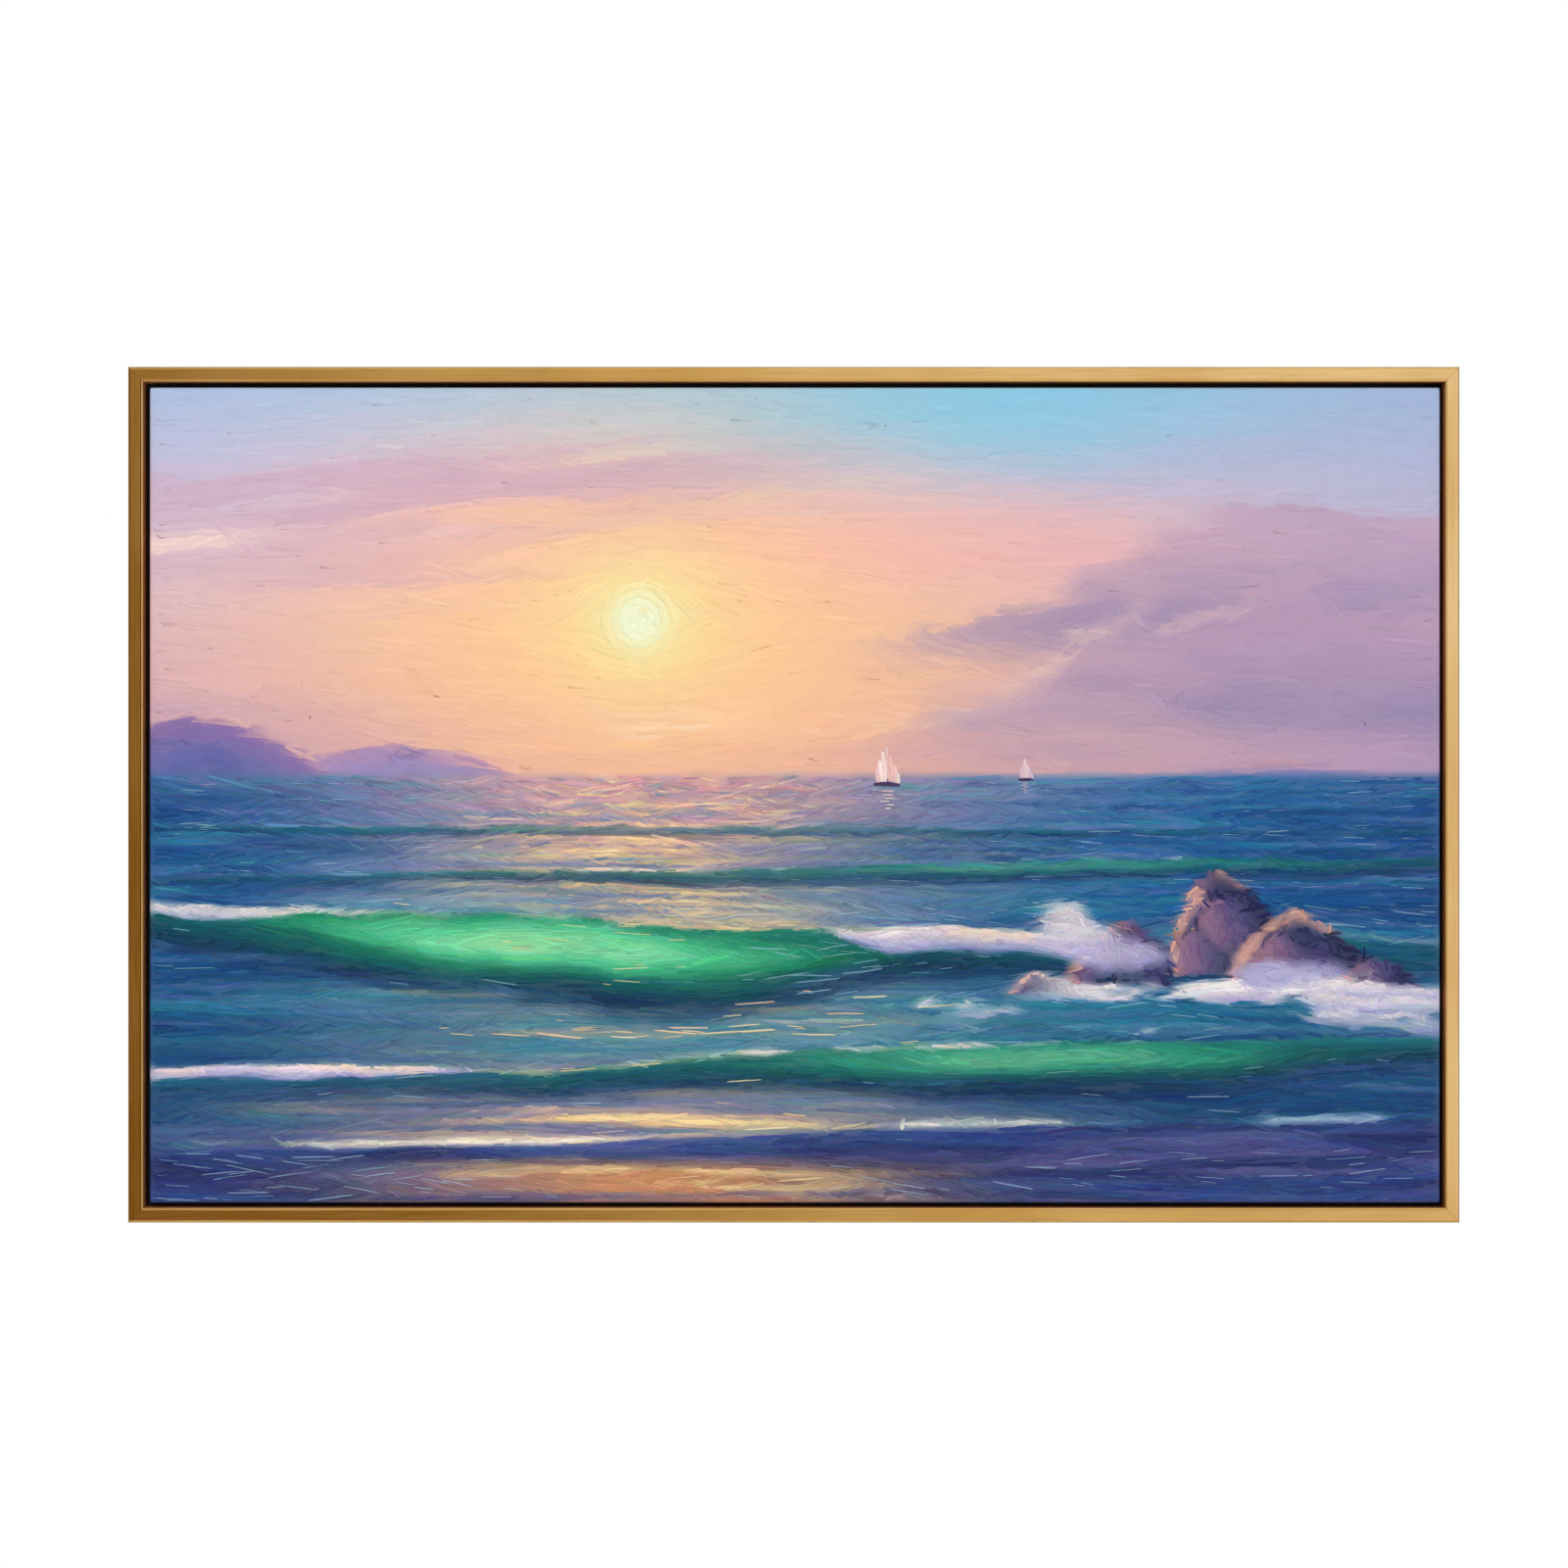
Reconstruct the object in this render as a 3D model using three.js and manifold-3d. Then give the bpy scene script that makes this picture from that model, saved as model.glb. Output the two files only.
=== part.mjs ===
// A large oil painting on stretched canvas, set in a gilt floater frame.
//
// Millimetres, +Z up. The picture faces -Y and its back lies on the wall plane y = 0.
// The origin is on the wall plane, at the middle of the top rail's back face, where the
// picture bears on the wall when it hangs. Depths are measured forward from the wall.
//
// A floater frame is an L-section: a tall gilt wall round the picture, and a thin shelf
// at the back. The stretched canvas stands on the shelf with an open shadow gap all
// round, and screws through the shelf hold its stretcher bars from behind.

import * as THREE from "three";
import { mergeVertices } from "three/addons/utils/BufferGeometryUtils.js";
import Module from "manifold-3d";

const wasm = await Module();
wasm.setup();

// Frame: outside size, and the L-section of its rails.
const FRAME_WIDTH = 1400;
const FRAME_HEIGHT = 900;
const FACE_WIDTH = 16; // gilt face, from the outer side to the shadow gap
const FACE_DEPTH = 35; // from the wall to the flat of the face
const SHELF_REACH = 20; // how far the shelf runs in under the canvas
const SHELF_THICK = 5;
const EDGE_ROUND = 2.6; // rounded outer arris
const BEAD_WIDTH = 2.8; // half-round bead along the inner arris
const BEAD_PROUD = 1.1;
const FACE_DISH = 0.5; // the face dips this much towards the bead
const ARC_STEPS = 5;

// Shadow gap between the frame's wall and the canvas. The canvas sits a little right of
// the middle and a little low, as hand-set ones do.
const GAP = { left: 6.4, right: 4.2, top: 5.6, bottom: 4.8 };
const CLEAR = 0.3; // gap that touching pieces keep

// Canvas: cloth, ground and paint on the front, cloth alone on the sides and the fold.
const FRONT_THICK = 1.2;
const CLOTH_THICK = 0.9;
const FOLD_WIDTH = 24; // turned over onto the back of the bars
const CANVAS_ROUND = 2.6; // how the cloth rolls over the bars' front arris
const CORNER_ROUND = 1.6; // the folded corners, seen from the front
const CORNER_LEAST = 0.3; // what is left of that round on the inner rings
const CREASE = 0.4; // the fold's back edge, eased off

// Stretcher: four mitred bars and one upright brace.
const BAR_WIDTH = 44;
const BAR_THICK = 24;
const LIP_WIDTH = 7; // the only part of a bar that the canvas touches in front
const LIP_ROUND = 1.5; // the lip's inner arris, eased off
const LIP_DROP = 3.5; // behind the lip the bar falls away by this much
const BRACE_WIDTH = 42;
const BRACE_THICK = 17;

// Hanging plates: strips of steel with a notched lower edge, nailed near the ends.
const PLATE = { length: 64, height: 12, thick: 1.2, raise: 1.6, ramp: 4, ear: 11 };
const NOTCH = { count: 9, pitch: 3.4, width: 2.8, deep: 2.4 };
const PLATE_REACH = 300; // from the frame's middle to each plate
const NAIL = { head: 2.9, headThick: 0.9, shank: 0.9, length: 11 };
const SCREW = {
  head: 3.8, rim: 0.4, headDeep: 3.2, shank: 1.6, tip: 5, length: 22, sink: 0.2,
  slot: 0.8, slotDeep: 1.4, slotLength: 5,
};
const SCREW_LINE = 27; // from the frame's outer side to the row of screws
const SCREWS_ACROSS = [-450, -150, 150, 450];
const SCREWS_UP = [-260, 260];
const ROUND_SIDES = 18;

// Worked-out sizes.
const backHeight = FACE_WIDTH + SHELF_REACH; // a rail seen from behind
const frameTop = backHeight / 2;
const frameBottom = frameTop - FRAME_HEIGHT;
const canvas = {
  left: -FRAME_WIDTH / 2 + FACE_WIDTH + GAP.left,
  right: FRAME_WIDTH / 2 - FACE_WIDTH - GAP.right,
  top: frameTop - FACE_WIDTH - GAP.top,
  bottom: frameBottom + FACE_WIDTH + GAP.bottom,
};
const canvasWidth = canvas.right - canvas.left;
const canvasHeight = canvas.top - canvas.bottom;
const canvasX = (canvas.left + canvas.right) / 2;
const canvasZ = (canvas.top + canvas.bottom) / 2;
const foldBack = SHELF_THICK + CLEAR;
const barBack = foldBack + CLOTH_THICK + CLEAR;
const barFront = barBack + BAR_THICK;
const canvasBehind = barFront + CLEAR;
const canvasFront = canvasBehind + FRONT_THICK;
const barInset = CLOTH_THICK + CLEAR; // from the canvas's edge to a bar's edge

const gilt = new THREE.MeshStandardMaterial({ color: 0xb88a4a, roughness: 0.34, metalness: 0.9 });
const paint = new THREE.MeshStandardMaterial({ color: 0x7f8fae, roughness: 0.45, metalness: 0 });
const pine = new THREE.MeshStandardMaterial({ color: 0xd9b98a, roughness: 0.7, metalness: 0 });
const steel = new THREE.MeshStandardMaterial({ color: 0xa9a695, roughness: 0.4, metalness: 1 });

const picture = new THREE.Group();

// Adds one named piece. Its geometry is already in place, in the part's own frame.
function add(name, geometry, material) {
  const mesh = new THREE.Mesh(geometry, material);
  mesh.name = name;
  picture.add(mesh);
}

// A closed geometry as a solid that can be joined and cut.
function solidOf(geometry) {
  const bare = new THREE.BufferGeometry();
  bare.setAttribute("position", geometry.getAttribute("position").clone());
  bare.setIndex(geometry.index);
  const merged = mergeVertices(bare, 1e-4);
  return new wasm.Manifold(
    new wasm.Mesh({
      numProp: 3,
      vertProperties: merged.attributes.position.array,
      triVerts: new Uint32Array(merged.index.array),
    }),
  );
}

function geometryOf(solid) {
  const mesh = solid.getMesh();
  const geometry = new THREE.BufferGeometry();
  geometry.setAttribute("position", new THREE.BufferAttribute(mesh.vertProperties, 3));
  geometry.setIndex(new THREE.BufferAttribute(mesh.triVerts, 1));
  return geometry;
}

// Points on a quarter or half arc round a centre, angles in degrees, both ends included.
function arc(centreX, centreY, radiusX, radiusY, from, to, steps) {
  return Array.from({ length: steps + 1 }, (_, i) => {
    const angle = THREE.MathUtils.degToRad(from + ((to - from) * i) / steps);
    return [centreX + radiusX * Math.cos(angle), centreY + radiusY * Math.sin(angle)];
  });
}

// Section of a rail: first number inward from the outer side, second forward from the wall.
function railSection() {
  const dishDepth = FACE_DEPTH - FACE_DISH;
  const beadMiddle = FACE_WIDTH - BEAD_WIDTH / 2;
  return [
    [0, 0],
    [backHeight, 0],
    [backHeight, SHELF_THICK],
    [FACE_WIDTH, SHELF_THICK],
    ...arc(beadMiddle, dishDepth, BEAD_WIDTH / 2, BEAD_PROUD + FACE_DISH, 0, 180, 2 * ARC_STEPS),
    ...arc(EDGE_ROUND, FACE_DEPTH - EDGE_ROUND, EDGE_ROUND, EDGE_ROUND, 90, 180, ARC_STEPS),
  ];
}

// Section of a stretcher bar, with the lip along its outer edge.
function barSection() {
  return [
    [0, barBack],
    [BAR_WIDTH, barBack],
    [BAR_WIDTH, barFront - LIP_DROP],
    [LIP_WIDTH, barFront - LIP_ROUND / 2],
    [LIP_WIDTH - LIP_ROUND, barFront],
    [0, barFront],
  ];
}

// Carries a section along one side of a rectangle and mitres both ends: each point's run
// is shortened at either end by how far in from the outer edge the point lies.
// side turns the finished length to the top, left, bottom or right of the rectangle.
function mitredLength(section, width, height, centreX, centreZ, side) {
  const turns = { top: 0, left: 1, bottom: 2, right: 3 }[side];
  const run = turns % 2 ? height : width;
  const reach = (turns % 2 ? width : height) / 2;
  const outline = new THREE.Shape(section.map(([inward, depth]) => new THREE.Vector2(inward, depth)));
  const geometry = new THREE.ExtrudeGeometry(outline, { depth: 1, bevelEnabled: false, steps: 1 });
  const place = geometry.getAttribute("position");
  for (let i = 0; i < place.count; i++) {
    const inward = place.getX(i);
    const depth = place.getY(i);
    const half = run / 2 - inward - CLEAR / 2;
    place.setXYZ(i, half * (1 - 2 * place.getZ(i)), -depth, reach - inward);
  }
  geometry.deleteAttribute("normal");
  geometry.deleteAttribute("uv");
  return geometry.rotateY((-turns * Math.PI) / 2).translate(centreX, 0, centreZ);
}

// A ring of points round the canvas, so far in from its edge and forward of the wall.
function canvasRing(inset, depth) {
  const corner = Math.max(CORNER_ROUND - inset, CORNER_LEAST);
  const halfWidth = canvasWidth / 2 - inset - corner;
  const halfHeight = canvasHeight / 2 - inset - corner;
  return [
    [1, 1, 0],
    [-1, 1, 90],
    [-1, -1, 180],
    [1, -1, 270],
  ].flatMap(([toRight, toTop, from]) =>
    arc(toRight * halfWidth, toTop * halfHeight, corner, corner, from, from + 90, 3).map(
      ([x, z]) => new THREE.Vector3(canvasX + x, -depth, canvasZ + z),
    ),
  );
}

// The stretched canvas: a tray of cloth, open behind, with its edges turned in.
function canvasTray() {
  const edge = arc(CANVAS_ROUND, canvasFront - CANVAS_ROUND, -CANVAS_ROUND, CANVAS_ROUND, 0, 90, 6);
  const rings = [
    canvasRing(FRONT_THICK, canvasBehind),
    canvasRing(CLOTH_THICK, canvasBehind - 1),
    canvasRing(CLOTH_THICK, foldBack + CLOTH_THICK),
    canvasRing(FOLD_WIDTH, foldBack + CLOTH_THICK),
    canvasRing(FOLD_WIDTH, foldBack),
    canvasRing(CREASE, foldBack),
    canvasRing(0, foldBack + CREASE),
    ...edge.map(([inset, depth]) => canvasRing(inset, depth)),
  ];
  const count = rings[0].length;
  const faces = [];
  for (let r = 0; r + 1 < rings.length; r++) {
    for (let i = 0; i < count; i++) {
      const here = r * count + i;
      const next = r * count + ((i + 1) % count);
      faces.push(here, next, next + count, here, next + count, here + count);
    }
  }
  const last = (rings.length - 1) * count;
  for (let i = 1; i + 1 < count; i++) {
    faces.push(0, i + 1, i, last, last + i, last + i + 1);
  }
  return new THREE.BufferGeometry().setFromPoints(rings.flat()).setIndex(faces);
}

// A solid of revolution whose axis runs forward from a point on or near the wall.
function turned(profile, x, depth, z) {
  const points = profile.map(([radius, along]) => new THREE.Vector2(radius, along));
  const lathe = new THREE.LatheGeometry(points, ROUND_SIDES);
  return lathe.rotateX(Math.PI).translate(x, -depth, z);
}

function box(sizeX, sizeY, sizeZ, x, depth, z) {
  return new THREE.BoxGeometry(sizeX, sizeY, sizeZ).translate(x, -depth, z);
}

// Countersunk wood screw with a cross slot, its head just below the shelf's back face.
function screwAt(x, z) {
  const profile = [
    [0, 0],
    [SCREW.head, 0],
    [SCREW.head, SCREW.rim],
    [SCREW.shank, SCREW.headDeep],
    [SCREW.shank, SCREW.length - SCREW.tip],
    [0, SCREW.length],
  ];
  const across = box(SCREW.slotLength, 2 * SCREW.slotDeep, SCREW.slot, x, SCREW.sink, z);
  const upright = box(SCREW.slot, 2 * SCREW.slotDeep, SCREW.slotLength, x, SCREW.sink, z);
  const body = solidOf(turned(profile, x, SCREW.sink, z));
  return geometryOf(body.subtract(solidOf(across)).subtract(solidOf(upright)));
}

// The hole for a screw: its own form, larger all round by the clearance.
function screwHoleAt(x, z) {
  const deepEnd = SCREW.length + SCREW.sink + CLEAR;
  const profile = [
    [0, -1],
    [SCREW.head + CLEAR, -1],
    [SCREW.head + CLEAR, SCREW.sink + SCREW.rim],
    [SCREW.shank + CLEAR, SCREW.sink + SCREW.headDeep],
    [SCREW.shank + CLEAR, deepEnd],
    [0, deepEnd],
  ];
  return solidOf(turned(profile, x, 0, z));
}

// Round-headed nail for a hanging plate, and the bore that clears its shank. Both are
// measured from the underside of the head, which bears on the plate's ear.
const NAIL_PROFILE = [
  [0, -NAIL.headThick],
  [0.6 * NAIL.head, -NAIL.headThick],
  [NAIL.head, -0.3 * NAIL.headThick],
  [NAIL.head, 0],
  [NAIL.shank, 0],
  [NAIL.shank, NAIL.length - 2],
  [0, NAIL.length],
];
const NAIL_BORE = [
  [0, 0],
  [NAIL.shank + CLEAR, 0],
  [NAIL.shank + CLEAR, NAIL.length + CLEAR],
  [0, NAIL.length + CLEAR],
];

// A hanging plate: flat ears, and a raised middle with notches along its lower edge.
function hangingPlate(x, z, backOfPlate) {
  const half = PLATE.length / 2;
  const rampEnd = half - PLATE.ear - PLATE.ramp;
  const rampStart = half - PLATE.ear;
  const outside = [
    [-half, 0],
    [-rampStart, 0],
    [-rampEnd, PLATE.raise],
    [rampEnd, PLATE.raise],
    [rampStart, 0],
    [half, 0],
  ];
  const bent = [...outside, ...outside.map(([along, out]) => [along, out + PLATE.thick]).reverse()];
  const outline = new THREE.Shape(bent.map(([along, out]) => new THREE.Vector2(along, out)));
  const strip = new THREE.ExtrudeGeometry(outline, { depth: PLATE.height, bevelEnabled: false });
  strip.translate(0, 0, -PLATE.height / 2).translate(x, -backOfPlate, z);
  const cutLength = PLATE.raise + PLATE.thick + 2;
  let plate = solidOf(strip);
  for (let i = 0; i < NOTCH.count; i++) {
    const middle = x + (i - (NOTCH.count - 1) / 2) * NOTCH.pitch;
    const tooth = new THREE.Shape([
      new THREE.Vector2(-NOTCH.width / 2, -1),
      new THREE.Vector2(NOTCH.width / 2, -1),
      new THREE.Vector2(0, NOTCH.deep),
    ]);
    const cutter = new THREE.ExtrudeGeometry(tooth, { depth: cutLength, bevelEnabled: false });
    cutter.rotateX(Math.PI / 2).translate(middle, cutLength - 1 - backOfPlate, z - PLATE.height / 2);
    plate = plate.subtract(solidOf(cutter));
  }
  return plate;
}

// Rails, with a hole through the shelf for each screw.
const screwPlaces = {
  top: SCREWS_ACROSS.map((x) => [x, frameTop - SCREW_LINE]),
  bottom: SCREWS_ACROSS.map((x) => [x, frameBottom + SCREW_LINE]),
  left: SCREWS_UP.map((z) => [-FRAME_WIDTH / 2 + SCREW_LINE, canvasZ + z]),
  right: SCREWS_UP.map((z) => [FRAME_WIDTH / 2 - SCREW_LINE, canvasZ + z]),
};
const frameMiddle = (frameTop + frameBottom) / 2;
let tray = solidOf(canvasTray());

for (const [side, places] of Object.entries(screwPlaces)) {
  const railGeometry = mitredLength(
    railSection(), FRAME_WIDTH, FRAME_HEIGHT, 0, frameMiddle, side);
  const barGeometry = mitredLength(
    barSection(), canvasWidth - 2 * barInset, canvasHeight - 2 * barInset, canvasX, canvasZ, side);
  let rail = solidOf(railGeometry);
  let bar = solidOf(barGeometry);
  places.forEach(([x, z], i) => {
    const hole = screwHoleAt(x, z);
    rail = rail.subtract(hole);
    bar = bar.subtract(hole);
    tray = tray.subtract(hole);
    add(`screw_${side}_${i + 1}`, screwAt(x, z), steel);
  });
  add(`frame_rail_${side}`, geometryOf(rail), gilt);
  if (side === "top") {
    bar = withPlates(bar);
  }
  add(`stretcher_bar_${side}`, geometryOf(bar), pine);
}

// Nails a hanging plate near each end of the top bar, and returns the bar with its holes.
function withPlates(bar) {
  const plateZ = canvas.top - (FOLD_WIDTH + barInset + BAR_WIDTH) / 2;
  const plateBack = barBack - CLEAR;
  const earMiddle = (PLATE.length - PLATE.ear) / 2;
  let bored = bar;
  for (const [hand, sign] of [["left", -1], ["right", 1]]) {
    const x = sign * PLATE_REACH;
    let plate = hangingPlate(x, plateZ, plateBack);
    for (const [end, nailX] of [["outer", x + sign * earMiddle], ["inner", x - sign * earMiddle]]) {
      const headDepth = plateBack - PLATE.thick - CLEAR;
      const hole = solidOf(turned(NAIL_BORE, nailX, headDepth, plateZ));
      plate = plate.subtract(hole);
      bored = bored.subtract(hole);
      add(`nail_${hand}_${end}`, turned(NAIL_PROFILE, nailX, headDepth, plateZ), steel);
    }
    add(`hanging_plate_${hand}`, geometryOf(plate), steel);
  }
  return bored;
}

add("canvas", geometryOf(tray), paint);

// Upright brace between the long bars, clear of the canvas.
const braceHeight = canvasHeight - 2 * (barInset + BAR_WIDTH + CLEAR);
const braceDepth = barBack + BRACE_THICK / 2;
add("stretcher_brace", box(BRACE_WIDTH, BRACE_THICK, braceHeight, canvasX, braceDepth, canvasZ), pine);

export default picture;
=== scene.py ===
# %% [markdown]
# # A framed oil painting
#
# A seascape at sundown on stretched canvas, set in a gilt floater frame. The solids come
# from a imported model, the frame: rails, stretcher bars, screws and plates stay as they
# are and get finishes here. The canvas is made again as real cloth, and the paint on it
# as thousands of brush strokes. Everything is in metres, in the model's own axes: the
# picture faces -Y and its back lies on the wall plane y = 0.

import bpy
import numpy as np
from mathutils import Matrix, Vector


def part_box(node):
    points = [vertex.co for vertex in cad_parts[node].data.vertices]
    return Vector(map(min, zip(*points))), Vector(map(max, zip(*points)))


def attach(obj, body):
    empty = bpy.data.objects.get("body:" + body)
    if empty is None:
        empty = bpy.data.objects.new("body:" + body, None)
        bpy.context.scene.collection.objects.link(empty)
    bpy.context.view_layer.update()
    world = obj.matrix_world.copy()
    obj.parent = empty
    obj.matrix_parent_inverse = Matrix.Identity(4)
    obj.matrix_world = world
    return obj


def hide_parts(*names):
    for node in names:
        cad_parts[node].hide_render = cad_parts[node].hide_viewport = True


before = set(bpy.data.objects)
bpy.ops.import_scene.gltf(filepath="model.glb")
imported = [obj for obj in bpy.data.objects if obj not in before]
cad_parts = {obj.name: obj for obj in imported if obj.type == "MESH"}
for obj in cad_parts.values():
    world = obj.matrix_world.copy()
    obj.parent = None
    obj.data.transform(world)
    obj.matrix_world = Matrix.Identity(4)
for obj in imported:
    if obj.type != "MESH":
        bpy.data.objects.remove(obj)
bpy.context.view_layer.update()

MM = 0.001

# %% [markdown]
# ## Places
#
# Every place is read from the solids, so nothing is typed twice. A depth is a distance
# forward from the wall, which is -y.

# %% Places read from the solids
canvas_low, canvas_high = (np.array(corner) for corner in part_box("canvas"))
SIDES = ("top", "bottom", "left", "right")
rail_boxes = {side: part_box(f"frame_rail_{side}") for side in SIDES}

CANVAS_WIDE = canvas_high[0] - canvas_low[0]
CANVAS_TALL = canvas_high[2] - canvas_low[2]
CANVAS_MIDDLE = (canvas_low + canvas_high) / 2
FRONT_DEPTH = -canvas_low[1]
FACE_DEPTH = -rail_boxes["top"][0][1]
print(f"canvas {CANVAS_WIDE:.4f} by {CANVAS_TALL:.4f} m, its front {FRONT_DEPTH:.4f} m from the wall")

# %% [markdown]
# ## Two helpers for shaders
#
# A shader is a small program, so it reads best as arithmetic. `Wire` wraps one output
# socket and turns `+ - *` into Math nodes. `Finish` is a material in the making: its one
# method `node` adds any other node, and a few short ones name what is used often. What is
# the same all over a surface is set straight on the shader's own sockets.


# %% Wire and Finish
class Wire:
    """A number, colour or vector inside a shader. Arithmetic on numbers adds Math nodes."""

    __array_ufunc__ = None  # a numpy number on the left leaves the sum to this class

    def __init__(self, finish, socket):
        self.finish = finish
        self.socket = socket

    def __add__(self, other):
        return self.finish.maths("ADD", self, other)

    def __sub__(self, other):
        return self.finish.maths("SUBTRACT", self, other)

    def __rsub__(self, other):
        return self.finish.maths("SUBTRACT", other, self)

    def __mul__(self, other):
        return self.finish.maths("MULTIPLY", self, other)

    __radd__ = __add__
    __rmul__ = __mul__

    def ramp(self, low, high, bottom=0.0, top=1.0):
        """Rises smoothly from bottom to top as this number goes from low to high."""
        return self.finish.node(
            "ShaderNodeMapRange",
            {"interpolation_type": "SMOOTHSTEP"},
            {"Value": self, "From Min": low, "From Max": high, "To Min": bottom, "To Max": top},
        )


class Finish:
    """A material in the making. plain holds the shader's sockets that are alike all over."""

    def __init__(self, name, **plain):
        self.material = bpy.data.materials.new(name)
        self.material.use_nodes = True
        self.tree = self.material.node_tree
        self.shader = self.tree.nodes["Principled BSDF"]
        for socket, value in plain.items():
            self.shader.inputs[socket.replace("_", " ")].default_value = value

    def join(self, value, socket):
        """Links a wire to a socket, or sets a plain value on it."""
        if isinstance(value, Wire):
            self.tree.links.new(value.socket, socket)
        else:
            socket.default_value = value

    def node(self, kind, settings=None, sockets=None, output=0):
        """Adds a node: its settings first, then the values or links of its sockets."""
        made = self.tree.nodes.new(kind)
        for name, value in (settings or {}).items():
            setattr(made, name, value)
        for name, value in (sockets or {}).items():
            self.join(value, made.inputs[name])
        return Wire(self, made.outputs[output])

    def maths(self, operation, first, second=0.0):
        """A Math node, which works on numbers alone."""
        return self.node("ShaderNodeMath", {"operation": operation}, {0: first, 1: second})

    def set(self, socket, value):
        """Links what changes over the surface to one of the shader's own sockets."""
        self.join(value, self.shader.inputs[socket])

    def coordinates(self):
        """The piece's own coordinates, in metres, as a vector."""
        return self.node("ShaderNodeTexCoord", output="Object")

    def parts(self, vector):
        """A vector's three numbers."""
        first = self.node("ShaderNodeSeparateXYZ", sockets={0: vector})
        return [Wire(self, socket) for socket in first.socket.node.outputs]

    def place(self):
        """The piece's own coordinates, as a vector and as x, depth and z."""
        vector = self.coordinates()
        x, y, z = self.parts(vector)
        return vector, x, 0 - y, z

    def scaled(self, vector, scale):
        """Each part of a vector, or of a colour, multiplied by its own number."""
        return self.node("ShaderNodeVectorMath", {"operation": "MULTIPLY"}, {0: vector, 1: scale})

    def noise(self, vector, scale, detail=3.0):
        """Cloudy noise from 0 to 1. scale is bumps to the metre along x, y and z."""
        cloud = {"Scale": 1.0, "Detail": detail, "Roughness": 0.55}
        return self.node("ShaderNodeTexNoise", {}, {"Vector": self.scaled(vector, scale), **cloud})

    def mix(self, first, second, share):
        """Colour first where share is 0 and colour second where it is 1.

        A paint may be given by its (red, green, blue) on a paint chart, from 0 to 255."""
        charted = [shade(*c) if isinstance(c, tuple) and len(c) == 3 else c for c in (first, second)]
        sockets = {0: share, 6: charted[0], 7: charted[1]}
        return self.node("ShaderNodeMix", {"data_type": "RGBA"}, sockets, output=2)

    def attribute(self, name, output="Fac"):
        """What a mesh holds for each of its points under that name."""
        return self.node("ShaderNodeAttribute", {"attribute_name": name}, output=output)

    def bump(self, height, millimetres, strength=1.0, under=None):
        """Bends the light as if the surface rose by that many millimetres where height is 1."""
        sockets = {"Height": height, "Distance": millimetres * MM, "Strength": strength}
        if under is not None:
            sockets["Normal"] = under
        return self.node("ShaderNodeBump", {}, sockets)


def linear(colour):
    """Colours as painted, from 0 to 1, as the linear light that the renderer counts in."""
    colour = np.asarray(colour, dtype=float)
    return np.where(colour <= 0.04045, colour / 12.92, ((colour + 0.055) / 1.055) ** 2.4)


def shade(red, green, blue):
    """A colour given as 0 to 255 on a paint chart, as a shader's colour value."""
    return (*linear(np.array((red, green, blue)) / 255), 1.0)


# %% [markdown]
# ## The gilt rails
#
# A floater moulding is wood under a gold-toned metal leaf, burnished along its length.
# The leaf covers the outer side, the face and the bead. It thins to its red-brown bole
# down the inner wall, and below that the wall and shelf are painted black, so that the
# canvas seems to float over a dark gap. The back stays bare wood. All of this follows from
# two numbers at each point: its depth, and how far inward it lies from the rail's outer
# side. The leaf takes fine lines from the burnisher, clouds slowly, and is rubbed through
# in flecks along the outer arris and the bead.

# %% Gilt finish
GILT_DEEP = 18 * MM  # how far the leaf runs down the inner wall before it fades out
GILT_FADE = 8 * MM  # over how much depth it fades
FACE_WIDE = 16 * MM
DISH_SLOPE = 0.047  # how fast the face dips towards its bead, which burnishing evens out


def inward_of(side, x, z):
    """How far a point lies in from the outer side of a rail."""
    (left, _, bottom), (right, _, top) = rail_boxes[side]
    return {"top": top - z, "bottom": z - bottom, "left": x - left, "right": right - x}[side]


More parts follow.
